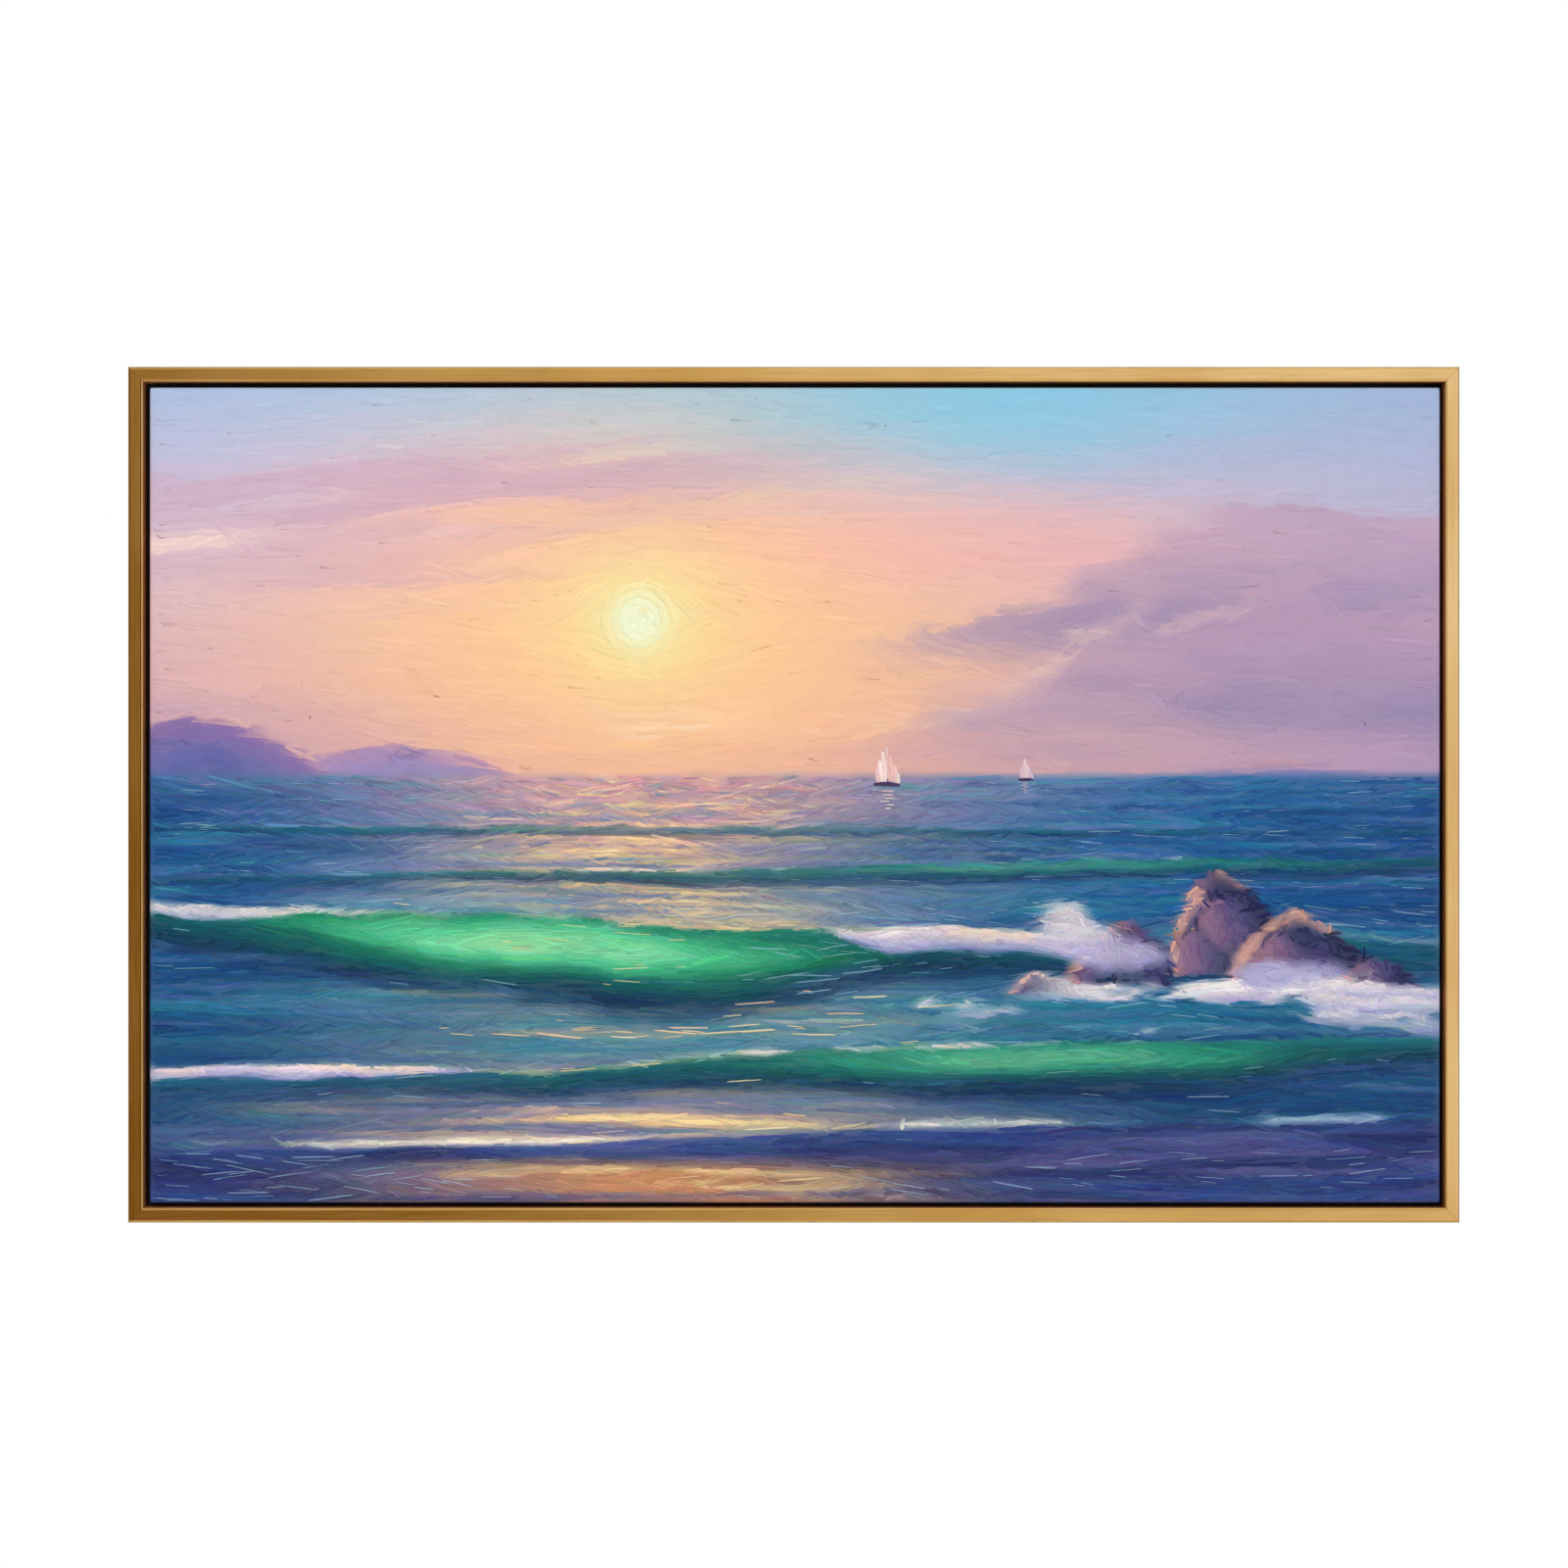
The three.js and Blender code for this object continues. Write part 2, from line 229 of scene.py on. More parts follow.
def gilt(side):
    """Burnished leaf on the rail of one side, black in the rebate, bare wood behind."""
    finish = Finish(f"gilt_{side}", Specular_IOR_Level=0.5)
    place, x, depth, z = finish.place()
    inward = inward_of(side, x, z)
    flat = side in ("top", "bottom")

    def along(fine, coarse):
        """The scale of noise drawn out along the rail: fine across it, coarse along it."""
        return (coarse, fine, fine) if flat else (fine, fine, coarse)

    brushed = finish.noise(place, along(900, 14), 4)
    cloudy = finish.noise(place, (6, 6, 6), 2)
    patch = finish.noise(place, (38, 60, 38), 3)
    gold = finish.mix((200, 156, 90), (210, 168, 104), cloudy.ramp(0.35, 0.65))
    gold = finish.mix(gold, (180, 134, 74), brushed.ramp(0.45, 0.8, 0, 0.5))
    gold = finish.mix(gold, (200, 168, 92), patch.ramp(0.55, 0.75, 0, 0.35))

    fleck = finish.noise(place, along(420, 90), 3)
    arris = 1 - inward.ramp(0.4 * MM, 2.6 * MM)
    arris = arris * depth.ramp(FACE_DEPTH - 4 * MM, FACE_DEPTH - 1.5 * MM)
    bead = inward.ramp(FACE_WIDE - 1.8 * MM, FACE_WIDE - 1.2 * MM)
    bead = bead * depth.ramp(FACE_DEPTH - 0.5 * MM, FACE_DEPTH)
    worn = (arris + bead * 0.45) * fleck.ramp(0.56, 0.68)
    gold = finish.mix(gold, (112, 66, 38), worn * 0.7)

    wall = inward.ramp(FACE_WIDE - 0.4 * MM, FACE_WIDE - 0.1 * MM)
    shaded = wall * depth.ramp(FACE_DEPTH - 3 * MM, FACE_DEPTH - 1 * MM, 1, 0)
    gold = finish.mix(gold, (196, 122, 70), shaded)
    # Painted shade: a darker band along the outer rounded edge near the face, standing for the shade on
    # the round.
    edge = inward.ramp(0.3 * MM, 1.6 * MM, 0.85, 0)
    edge = edge * depth.ramp(FACE_DEPTH - 4 * MM, FACE_DEPTH - 2 * MM)
    gold = finish.mix(gold, (120, 96, 56), edge)
    black = wall * (1 - depth.ramp(FACE_DEPTH - GILT_DEEP - GILT_FADE, FACE_DEPTH - GILT_DEEP))
    wood = 1 - depth.ramp(0.1 * MM, 0.4 * MM)
    grain = finish.noise(place, along(240, 7), 4)
    bare = finish.mix((196, 164, 122), (160, 122, 82), grain.ramp(0.35, 0.7))
    dull = black + wood
    colour = finish.mix(gold, (30, 22, 18), black)
    finish.set("Base Color", finish.mix(colour, bare, wood))
    finish.set("Metallic", (1 - dull.ramp(0.0, 0.6) - worn * 0.6) * (1 - shaded * 0.9))
    burnished = brushed.ramp(0.3, 0.75, 0.16, 0.26)
    finish.set("Roughness", burnished + dull.ramp(0, 1, 0, 0.45) + worn * 0.2)
    level = finish.bump(inward * (1 / MM), DISH_SLOPE)
    finish.set("Normal", finish.bump(brushed + fleck * 0.4, 0.015, 0.6, level))
    return finish.material


def dress(node, material):
    """Gives a solid its finish."""
    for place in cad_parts[node].material_slots:
        place.material = material


for side in SIDES:
    dress(f"frame_rail_{side}", gilt(side))
print("gilt on", len(SIDES), "rails")

# %% [markdown]
# ## Pine and zinc
#
# The stretcher is planed pine: pale early wood with darker late-wood lines along the
# length of each bar, and a knot here and there. The lines are a sine wave across the
# grain, bent by slow noise, and knots are the middles of scattered cells. The hardware is
# zinc-plated steel, cloudy and slightly rough.

# %% Pine finish
RINGS = 900  # how fast the late-wood lines follow each other, in radians to the metre


def pine(name, upright):
    """Planed pine with its grain along z if upright, or else along x."""
    finish = Finish(name, Specular_IOR_Level=0.35)
    place, x, depth, z = finish.place()
    across = x if upright else z
    stretch = (30, 30, 1.4) if upright else (1.4, 30, 30)
    bend = finish.noise(place, stretch, 2)
    rings = finish.maths("SINE", (across + depth * 0.6) * RINGS + bend * 16)
    fibres = finish.noise(place, tuple(20 * s for s in stretch), 3)
    spaced = finish.scaled(place, (9, 1, 3) if upright else (3, 1, 9))
    knots = finish.node(
        "ShaderNodeTexVoronoi", {"feature": "F1"}, {"Vector": spaced, "Scale": 1.0}, "Distance")
    colour = finish.mix((226, 196, 148), (200, 158, 104), rings.ramp(0.1, 1.0, 0, 0.75))
    colour = finish.mix(colour, (184, 140, 92), fibres.ramp(0.5, 0.85, 0, 0.5))
    colour = finish.mix((112, 70, 40), colour, knots.ramp(0.035, 0.075))
    finish.set("Base Color", colour)
    finish.set("Roughness", fibres.ramp(0.3, 0.8, 0.55, 0.75))
    finish.set("Normal", finish.bump(fibres + rings * 0.3, 0.08, 0.5))
    return finish.material


pine_upright = pine("pine_upright", True)
pine_level = pine("pine_level", False)
for side in SIDES:
    dress(f"stretcher_bar_{side}", pine_upright if side in ("left", "right") else pine_level)
dress("stretcher_brace", pine_upright)
print("pine on", len(SIDES), "bars and a brace")

# %% Zinc-plated steel
def zinc():
    """Zinc plate: a cool grey spangle with yellowish passes, and fine scratches."""
    finish = Finish("zinc_plate", Metallic=1.0)
    place = finish.coordinates()
    spangle = finish.noise(place, (600, 600, 600), 3)
    scratch = finish.noise(place, (150, 900, 2400), 2)
    colour = finish.mix((190, 188, 178), (206, 196, 160), spangle.ramp(0.45, 0.7))
    scratched = scratch.ramp(0.55, 0.75, 0, 0.6)
    finish.set("Base Color", finish.mix(colour, (150, 148, 142), scratched))
    finish.set("Roughness", spangle.ramp(0.3, 0.7, 0.28, 0.46))
    finish.set("Normal", finish.bump(scratch, 0.02, 0.4))
    return finish.material


zinc_plate = zinc()
HARDWARE = ("screw_", "nail_", "hanging_plate_")
hardware = [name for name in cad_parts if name.startswith(HARDWARE)]
for name in hardware:
    dress(name, zinc_plate)
print("zinc on", len(hardware), "screws, nails and plates")
# %% [markdown]
# ## Planning the picture
#
# The picture is a sundown over the sea, of the maker's own design: low isles on the
# left, a cloud bank on the right, long green swells lit from behind, and rocks in
# breaking water. It is planned as a painter would plan it, in broad areas first. Each
# area is a function of place: x from the left edge and v down from the top, both counted
# in canvas heights. Cloudy shapes come from fractal noise, which is smooth random
# numbers on a lattice added up at finer and finer sizes.

# %% Noise and blending
ASPECT = CANVAS_WIDE / CANVAS_TALL


def smooth(value, low, high):
    """0 below low, 1 above high, and an s-curve 3t^2 - 2t^3 between them."""
    t = np.clip((value - low) / (high - low), 0, 1)
    return t * t * (3 - 2 * t)


def bell(value, middle, width):
    """exp(-((value - middle) / width)^2): 1 at the middle, fading on both sides."""
    return np.exp(-(((value - middle) / width) ** 2))


def mix(first, second, share):
    """Colour first where share is 0, colour second where it is 1.

    A colour is an array of numbers from 0 to 1, or one paint as (red, green, blue) of 255."""
    first, second = (np.array(c) / 255 if isinstance(c, tuple) else c for c in (first, second))
    share = np.asarray(share)[..., None]
    return first * (1 - share) + second * share


def stops(value, places, colours):
    """A run of paints, each at its place, read at value on straight lines between them."""
    return np.stack([np.interp(value, places, [c[k] / 255 for c in colours]) for k in range(3)], -1)


def lattice(ix, iy, seed):
    """A fixed random number from -1 to 1 for each whole-number point, by mixing its bits."""
    bits = (ix * 374761393 + iy * 668265263 + seed * 974634777) & 0xFFFFFFFF
    bits = ((bits ^ (bits >> 13)) * 1274126177) & 0xFFFFFFFF
    return ((bits ^ (bits >> 16)) & 0xFFFF) / 32767.5 - 1


def noise(x, y, seed=0):
    """The lattice's numbers, blended smoothly between each point's four corners."""
    left, low = np.floor(x), np.floor(y)
    fx, fy = smooth(x - left, 0, 1), smooth(y - low, 0, 1)
    ix, iy = left.astype(np.int64), low.astype(np.int64)
    near = lattice(ix, iy, seed) * (1 - fx) + lattice(ix + 1, iy, seed) * fx
    far = lattice(ix, iy + 1, seed) * (1 - fx) + lattice(ix + 1, iy + 1, seed) * fx
    return near * (1 - fy) + far * fy


def fractal(x, y, seed=0, octaves=4):
    """Noise plus finer noise: each octave is twice as fine and 0.55 as strong."""
    total = sum(noise(x * 2**i, y * 2**i, seed + 17 * i) * 0.55**i for i in range(octaves))
    return total / sum(0.55**i for i in range(octaves))


def wavy(x, scale, seed, octaves=3):
    """Fractal noise along x alone, for crests, ridges and shorelines."""
    return fractal(x * scale, np.full_like(x, 0.5), seed, octaves)


def patchy(x, v, across, down, seed, low, high, octaves=4):
    """1 in patches and 0 between them: fractal noise put through the s-curve."""
    return smooth(fractal(x * across, v * down, seed, octaves), low, high)


# %% [markdown]
# ### The sky
#
# Two columns of colour, one under the sun and one far from it, are blended by distance
# from the sun. Over them lie a blue opening, a pink wash, the sun's glow as rings that
# grow and fade, high streaks, two cloud banks and a low haze.

# %% Sky
HORIZON = 0.475
SUN_X, SUN_V = 0.60, 0.285


def cloud_bank(x, v, seed, top, base, left, right):
    """How solid a bank of cloud is, 0 to 1: puffs along its top, dissolving at its base."""
    bent = x + 0.07 * fractal(x * 2.4, v * 6, seed + 5)
    puff = 1 - 2 * np.abs(fractal(bent * 2.6, v * 7.5, seed, 5))
    rise = top + (base - top) * (1 - smooth(x, left, right))
    edge = rise - 0.060 * puff - 0.006 * noise(x * 22, v * 60, seed + 1)
    softness = smooth(noise(x * 2.5, v * 5, seed + 8), -0.2, 0.8)
    body = smooth(v - edge, -0.003, 0.012 + 0.06 * softness)
    fall = base + 0.02 * fractal(x * 4, v * 9, seed + 9)
    return body * (1 - smooth(v, fall - 0.05, fall + 0.035)) * smooth(x, left - 0.16, left + 0.04)


BANKS = (  # seed, top, base, and where the bank starts and is at its full height
    (43, 0.170, 0.335, 0.98, 1.40),
    (57, 0.285, 0.440, 0.86, 1.22),
)


def clouds(x, v, colour):
    """Each bank is mauve, darker down and inward, and its rim is what a shifted copy leaves."""
    for seed, top, base, left, right in BANKS:
        solid = cloud_bank(x, v, seed, top, base, left, right)
        nearer = cloud_bank(x - 0.010, v - 0.012, seed, top, base, left, right)
        rim = np.clip(solid - nearer, 0, 1) * patchy(x, v, 4, 8, seed + 6, -0.4, 0.5)
        depth = smooth(v, top, base) * smooth(x, 0.7, 1.3)
        tone = mix((190, 158, 184), (140, 130, 172), depth)
        tone = mix(tone, (222, 178, 182), 0.5 * patchy(x, v, 3.5, 9, seed + 3, -0.1, 0.6))
        drift = patchy(x, v, 1.6, 24, seed + 7, 0.0, 0.6) * smooth(v, top, base)
        tone = mix(tone, (132, 124, 168), 0.45 * drift)
        tone = mix(tone, (255, 216, 190), 0.9 * rim)
        thin = 0.64 + 0.21 * patchy(x, v, 2, 16, seed + 2, -0.4, 0.3)
        colour = mix(colour, tone, thin * solid)
    return colour


def sky(x, v):
    """The sky's layers, each mixed over the last by a share that is a product of masks."""
    down = v / HORIZON
    away = stops(down, [0, 0.25, 0.5, 0.75, 1], [
        (168, 184, 218), (180, 186, 216), (204, 184, 208), (204, 166, 190), (176, 150, 188)])
    under = stops(down, [0, 0.22, 0.42, 0.62, 0.85, 1], [
        (168, 200, 224), (222, 194, 206), (248, 190, 172), (252, 196, 150),
        (248, 190, 150), (236, 176, 154)])
    colour = mix(away, under, bell(x, SUN_X + 0.04, 0.60))

    drift = 0.05 * fractal(x * 2.2, v * 5, 3)
    opening = bell(x, 1.02, 0.36) * (1 - smooth(v + drift + 0.05 * (x - 1.0), 0.03, 0.17))
    colour = mix(colour, (138, 204, 228), 0.92 * opening)
    wash = bell(v + drift * 0.6 - 0.06 * (x - 0.8), 0.185, 0.055)
    colour = mix(colour, (244, 182, 176), 0.62 * wash * smooth(x, 0.1, 0.5) * (1 - smooth(x, 1.1, 1.6)))

    wide = np.hypot((x - SUN_X) / 1.2, (v - SUN_V) * 1.05)
    close = np.hypot(x - SUN_X, v - SUN_V)
    colour = mix(colour, (253, 202, 148), 0.80 * bell(wide, 0, 0.25))
    colour = mix(colour, (253, 220, 150), 0.80 * bell(wide, 0, 0.12))
    colour = mix(colour, (244, 240, 170), 0.95 * bell(close, 0, 0.060))
    colour = mix(colour, (240, 247, 208), 0.95 * (1 - smooth(close, 0.014, 0.048)))

    slope = v + 0.10 * (x - 0.4)
    streak = fractal(x * 1.6 + 3, slope * 20, 21) + 0.4 * fractal(x * 5, slope * 60, 22, 3)
    streak = smooth(streak, 0.0, 0.5)
    high = bell(slope, 0.115, 0.075) * (1 - smooth(x, 0.55, 1.0))
    lower = 0.9 * bell(slope, 0.25, 0.04) * (1 - smooth(x, 0.15, 0.6))
    colour = mix(colour, (205, 168, 188), 0.75 * streak * (high + lower))
    gleam = smooth(fractal(x * 2 + 9, slope * 26, 31), 0.15, 0.55) * bell(slope, 0.17, 0.06)
    colour = mix(colour, (255, 226, 204), 0.7 * gleam * (1 - smooth(x, 0.5, 1.1)))
    colour = clouds(x, v, colour)

    beside = np.abs(x - SUN_X)
    haze = patchy(x, v, 2.1, 34, 71, -0.15, 0.45) * smooth(v, 0.36, 0.43)
    tone = mix((226, 170, 168), (160, 142, 184), smooth(beside, 0.1, 0.8))
    colour = mix(colour, tone, 0.75 * haze * (0.35 + 0.65 * smooth(beside, 0.1, 0.6)))
    spark = patchy(x, v, 3.1, 60, 73, 0.3, 0.6) * bell(v, 0.425, 0.03) * bell(x, SUN_X, 0.4)
    return mix(colour, (255, 232, 200), 0.75 * spark)


# %% Isles on the horizon
ISLES = (  # peak height, middle, half width, seed, colour above and below
    (0.040, 0.30, 0.17, 81, (176, 142, 176), (150, 138, 186)),
    (0.075, 0.06, 0.17, 82, (140, 112, 164), (98, 106, 166)),
    (0.022, 1.40, 0.16, 83, (160, 138, 178), (134, 132, 184)),
)


def isles(x, v, colour):
    """Each isle is a hump 1 - |s|^1.7, roughened by noise, with a warm side to the sun."""
    for peak, middle, half, seed, high, low in ISLES:
        hump = np.clip(1 - np.abs((x - middle) / half) ** 1.7, 0, 1)
        ridge = HORIZON + 0.004 - peak * (hump + 0.16 * wavy(x, 14, seed, 4))
        inside = smooth(v - ridge, 0, 0.003) * (np.abs(x - middle) < half)
        tone = mix(high, low, smooth(v - ridge, 0, peak * 0.9))
        sunny = smooth(0.006 - (v - ridge), 0, 0.006) * smooth(x, middle - half, middle)
        tone = mix(tone, (236, 176, 160), 0.75 * sunny)
        tone = mix(tone, (84, 88, 150), 0.45 * patchy(x, v, 22, 60, seed + 4, 0.0, 0.6))
        colour = mix(colour, tone, inside)
    return colour


# %% [markdown]
# ### The sea
#
# Perspective makes far ripples small, so their noise is packed by 1 / (y + 0.09), where y
# runs from 0 at the horizon to 1 at the lower edge. The swells come over the open water,
# far ones first: each has a crest line, a face below it whose colour runs from clear green
# to navy, and foam.

# %% Open water
def down_sea(v):
    """How far down the sea: 0 at the horizon and above it, 1 at the lower edge."""
    return np.clip((v - HORIZON) / (1 - HORIZON), 0, 1)


def ripples(x, v, across, down, seed, octaves=3):
    """Noise drawn out sideways and packed closer together towards the horizon."""
    y = down_sea(v)
    return fractal(x * across / (y + 0.09), np.log(y + 0.05) * 15 * down, seed, octaves)


def open_water(x, v):
    """Cold blues away from the sun and warm ones below it, then ripples, then the sun's path."""
    y = down_sea(v)
    away = smooth(np.abs(x - SUN_X), 0.05, 0.75)
    cold = stops(y, [0, 0.12, 0.3, 0.55, 0.8, 1], [
        (64, 116, 170), (22, 98, 156), (12, 90, 146), (14, 80, 124), (20, 68, 114),
        (26, 52, 102)])
    warm = stops(y, [0, 0.1, 0.3, 0.55, 0.8, 1], [
        (206, 160, 170), (172, 142, 168), (112, 136, 160), (70, 122, 144), (120, 124, 150),
        (118, 104, 140)])
    colour = mix(warm, cold, away)
    outer = smooth(np.abs(x - ASPECT / 2), 0.35, 0.78) * bell(y, 0.2, 0.35)
    colour = mix(colour, (8, 56, 116), 0.55 * outer)
    wave = ripples(x, v, 1.1, 1, 101, 4)
    colour = mix(colour, (14, 66, 116), 0.7 * smooth(wave, 0.05, 0.55) * (0.4 + 0.6 * away))
    colour = mix(colour, (44, 140, 160), 0.55 * smooth(-wave, 0.05, 0.5))
    colour = mix(colour, (112, 140, 186), 0.4 * smooth(ripples(x, v, 2.6, 3.1, 103), 0.15, 0.55))
    violet = smooth(ripples(x, v, 1.7, 2.6, 111), 0.15, 0.5)
    colour = mix(colour, (128, 112, 172), 0.40 * violet * (1 - 0.5 * y))
    lime = smooth(ripples(x, v, 1.9, 2.3, 113), 0.1, 0.5) * bell(x, SUN_X + 0.12, 0.36)
    colour = mix(colour, (150, 176, 110), 0.6 * lime * bell(y, 0.22, 0.12))

    sway = 0.03 * np.sin(v * 40)
    path = bell(x, SUN_X + sway, 0.10 + 0.30 * y + 0.08 * bell(y, 0.05, 0.1))
    glitter = ripples(x + 3, v, 2.2, 2.2, 107, 4) + 0.5 * ripples(x, v, 5, 5, 108, 2)
    calmer = 1 - 0.55 * smooth(y, 0.25, 0.5) * (1 - smooth(y, 0.72, 0.8))
    blush = mix((236, 168, 150), (238, 190, 140), smooth(y, 0, 0.3))
    colour = mix(colour, blush, 0.85 * path * smooth(glitter, -0.5, 0.3) * calmer)
    return mix(colour, (252, 226, 160), 0.9 * path * smooth(glitter, 0.1, 0.65))


# %% Swells
SWELLS = (  # crest, face height, wobble, tilt, seed, where it is lit, how green, how strong
    (0.540, 0.014, 0.004, 0.004, 91, 0.60, 0.10, 0.5),
    (0.590, 0.026, 0.010, -0.012, 92, 1.10, 0.35, 0.7),
    (0.660, 0.115, 0.024, 0.018, 93, 0.50, 1.0, 1.0),
    (0.825, 0.070, 0.020, -0.030, 94, 1.08, 0.5, 0.95),
)
SPILLS = {93: (1.03, 0.20, 0.62), 94: (0.16, 0.26, 0.50)}  # seed: middle, reach and depth


def spill(x, v, t, seed, colour):
    """White water tumbling down a swell: a soft lens of puffs, lit above, mauve below."""
    middle, reach, depth = SPILLS[seed]
    seed = seed * 7
    puff = fractal(x * 11, v * 13, seed)
    body = 1 - np.clip(np.abs((x - middle) / reach), 0, 1) ** 2.2
    low = depth * body * (0.8 + 0.5 * wavy(x, 6, seed + 1))
    high = -0.10 * body * (0.6 + 0.9 * np.abs(wavy(x, 15, seed + 2)))
    inside = smooth(t + 0.10 * puff, high - 0.02, high + 0.05) * smooth(body, 0.02, 0.2)
    inside = inside * (1 - smooth(t + 0.16 * puff, low - 0.04, low + 0.05))
    tone = stops((t - high) / (low - high + 0.05) + 0.4 * puff, [0, 0.25, 0.55, 0.8, 1.1], [
        (248, 236, 222), (224, 210, 222), (190, 184, 216), (150, 152, 200), (96, 122, 178)])
    warmth = patchy(x, v, 8, 12, seed + 4, 0.05, 0.5) * (1 - smooth(t, 0.0, 0.35))
    return mix(colour, mix(tone, (250, 214, 176), 0.6 * warmth), 0.95 * inside)


def crest_foam(x, v, t, seed, size, lit, colour):
    """A broken white line along the crest, thicker away from where the swell is lit."""
    lace = fractal(x * 16 / size**0.3, v * 60, seed + 11)
    broken = wavy(x, 2.3, seed + 12)
    away = 0.25 + 0.75 * smooth(np.abs(x - lit), 0.2, 0.6)
    thick = (0.10 + 0.34 * smooth(broken, -0.1, 0.6)) * away * min(size, 1.0)
    foam = smooth(thick - np.abs(t - 0.02 - thick * 0.4) + 0.12 * lace, 0.0, 0.10)
    foam = foam * smooth(t, -0.12, -0.02 + 0.02 * lace) * smooth(broken + 0.25, -0.1, 0.25)
    tone = mix((238, 226, 222), (158, 158, 202), smooth(t + 0.12 * lace, 0.0, 0.36))
    tone = mix(tone, (255, 226, 186), 0.7 * bell(x, SUN_X, 0.4) * (1 - smooth(t, 0, 0.12)))
    return mix(colour, tone, 0.92 * foam)


def swells(x, v, colour):
    """Each swell's colour follows t, which is 0 at its crest and 1 at the foot of its face."""
    for level, face, wobble, tilt, seed, lit, green, strength in SWELLS:
        size = face / 0.09
        fine = size**0.5
        crest = level + tilt * (x - 0.8) + wobble * (wavy(x, 2.1, seed) - 0.56 * bell(x, lit, 0.30))
        crest = crest + 0.0025 * wavy(x, 26, seed + 3, 1)
        fullness = 0.5 + 0.5 * smooth(0.6 * wavy(x, 1.7, seed + 1, 2) + bell(x, lit, 0.5), 0.0, 0.9)
        t = (v - crest) / (face * fullness)
        ragged = 0.18 * fractal(x * 6 / fine, v * 40, seed + 2, 3)
        inside = smooth(t, 0, 0.03) * (1 - smooth(t + ragged, 0.70, 1.2)) * strength
        spread = bell(x, lit, 0.75) + 0.3 * fractal(x * 3, v * 9, seed + 4)
        inside = inside * (0.55 + 0.45 * smooth(spread, 0.2, 0.6))
        flow = fractal(x * 5 / fine + t * 0.9, t * 3.2 - x * 3, seed + 7)
        light = bell(x, lit, 0.34) * bell(t, 0.30, 0.34)
        tone = stops(t + 0.14 * flow, [0, 0.12, 0.4, 0.75, 1.1], [
            (34, 118, 130), (14, 100, 108), (6, 76, 92), (6, 48, 84), (8, 36, 78)])
        clear = smooth(bell(x, lit, 0.5) + 0.25 * flow, 0.3, 0.9) * (1 - smooth(t, 0.45, 0.95))
        tone = mix(tone, (22, 132, 92), green * 0.9 * clear)
        tone = mix(tone, (92, 208, 150), green * 0.95 * smooth(light + 0.16 * flow, 0.32, 0.86))
        glassy = smooth(light + 0.2 * fractal(x * 9, t * 5, seed + 8, 3), 0.72, 1.05)
        tone = mix(tone, (176, 228, 168), green * 0.7 * glassy)
        gleam = bell(x, SUN_X, 0.25) * bell(t, 0.06, 0.09) * smooth(flow, -0.3, 0.3)
        tone = mix(tone, (228, 206, 120), 0.7 * gleam)
        slate = smooth(fractal(x * 7, t * 6 + x * 2, seed + 9, 3), 0.1, 0.6) * smooth(t, 0.4, 0.9)
        tone = mix(tone, (96, 122, 178), 0.5 * slate)
        colour = mix(colour, tone, inside)
        sheen = bell(t, -0.16, 0.10) * patchy(x, v, 6, 70, seed + 5, -0.2, 0.4)
        colour = mix(colour, (150, 168, 190), 0.35 * sheen)
        colour = crest_foam(x, v, t, seed, size, lit, colour)
        if seed in SPILLS:
            colour = spill(x, v, t, seed, colour)
    return colour


# %% [markdown]
# ### Rocks, surf and the wash
#
# A rock is a peak with ledges along its ridge. Its planes are the cells round scattered
# points, each with its own tone, lighter on the side to the sun. Foam lies round its
# foot, and spray stands behind. A thin wash runs along the lower edge, where the sky's
# last light shows on wet sand.

# %% Rocks
ROCKS = (  # peak x, peak v, half width, height, lean, seed
    (1.300, 0.575, 0.085, 0.150, 0.25, 171),
    (1.205, 0.648, 0.075, 0.085, -0.25, 172),
    (1.395, 0.632, 0.105, 0.105, 0.30, 173),
    (1.098, 0.708, 0.052, 0.034, 0.0, 124),
    (1.505, 0.690, 0.060, 0.050, 0.0, 125),
)


def planes(x, v, seed):
    """A random value for the cell of the nearest scattered point, and how near the next is."""
    ix, iv = np.floor(x).astype(np.int64), np.floor(v).astype(np.int64)
    best, second, value = np.full(x.shape, 9.0), np.full(x.shape, 9.0), np.zeros(x.shape)
    for cx, cv in ((ix + i, iv + j) for i in (-1, 0, 1) for j in (-1, 0, 1)):
        point_x = cx + 0.5 + 0.42 * lattice(cx, cv, seed)
        point_v = cv + 0.5 + 0.42 * lattice(cx, cv, seed + 1)
        gap = np.hypot(point_x - x, point_v - v)
        second = np.where(gap < best, best, np.minimum(second, gap))
        value = np.where(gap < best, lattice(cx, cv, seed + 2), value)
        best = np.minimum(gap, best)
    return value, second - best


def rock_shape(x, v, rock):
    """Coverage of a rock, how far across it a point lies, and how far down it."""
    peak_x, peak_v, half, height, lean, seed = rock
    s = (x + 0.006 * fractal(x * 30, v * 30, seed + 2, 2) - peak_x - lean * (v - peak_v)) / half
    ledge = np.abs(wavy(x, 17, seed, 1)) + 0.5 * np.abs(wavy(x, 41, seed + 1, 1))
    ridge = peak_v + height * (0.30 * np.abs(s) + 0.62 * np.abs(s) ** 2.6) + 0.018 * ledge
    foot = peak_v + height + 0.006 * wavy(x, 24, seed + 5, 1)
    above_foot = 1 - smooth(v, foot - 0.003, foot + 0.003)
    inside = smooth(v - ridge, 0, 0.0025) * above_foot * (np.abs(s) < 1.3)
    return inside, s, (v - ridge) / height


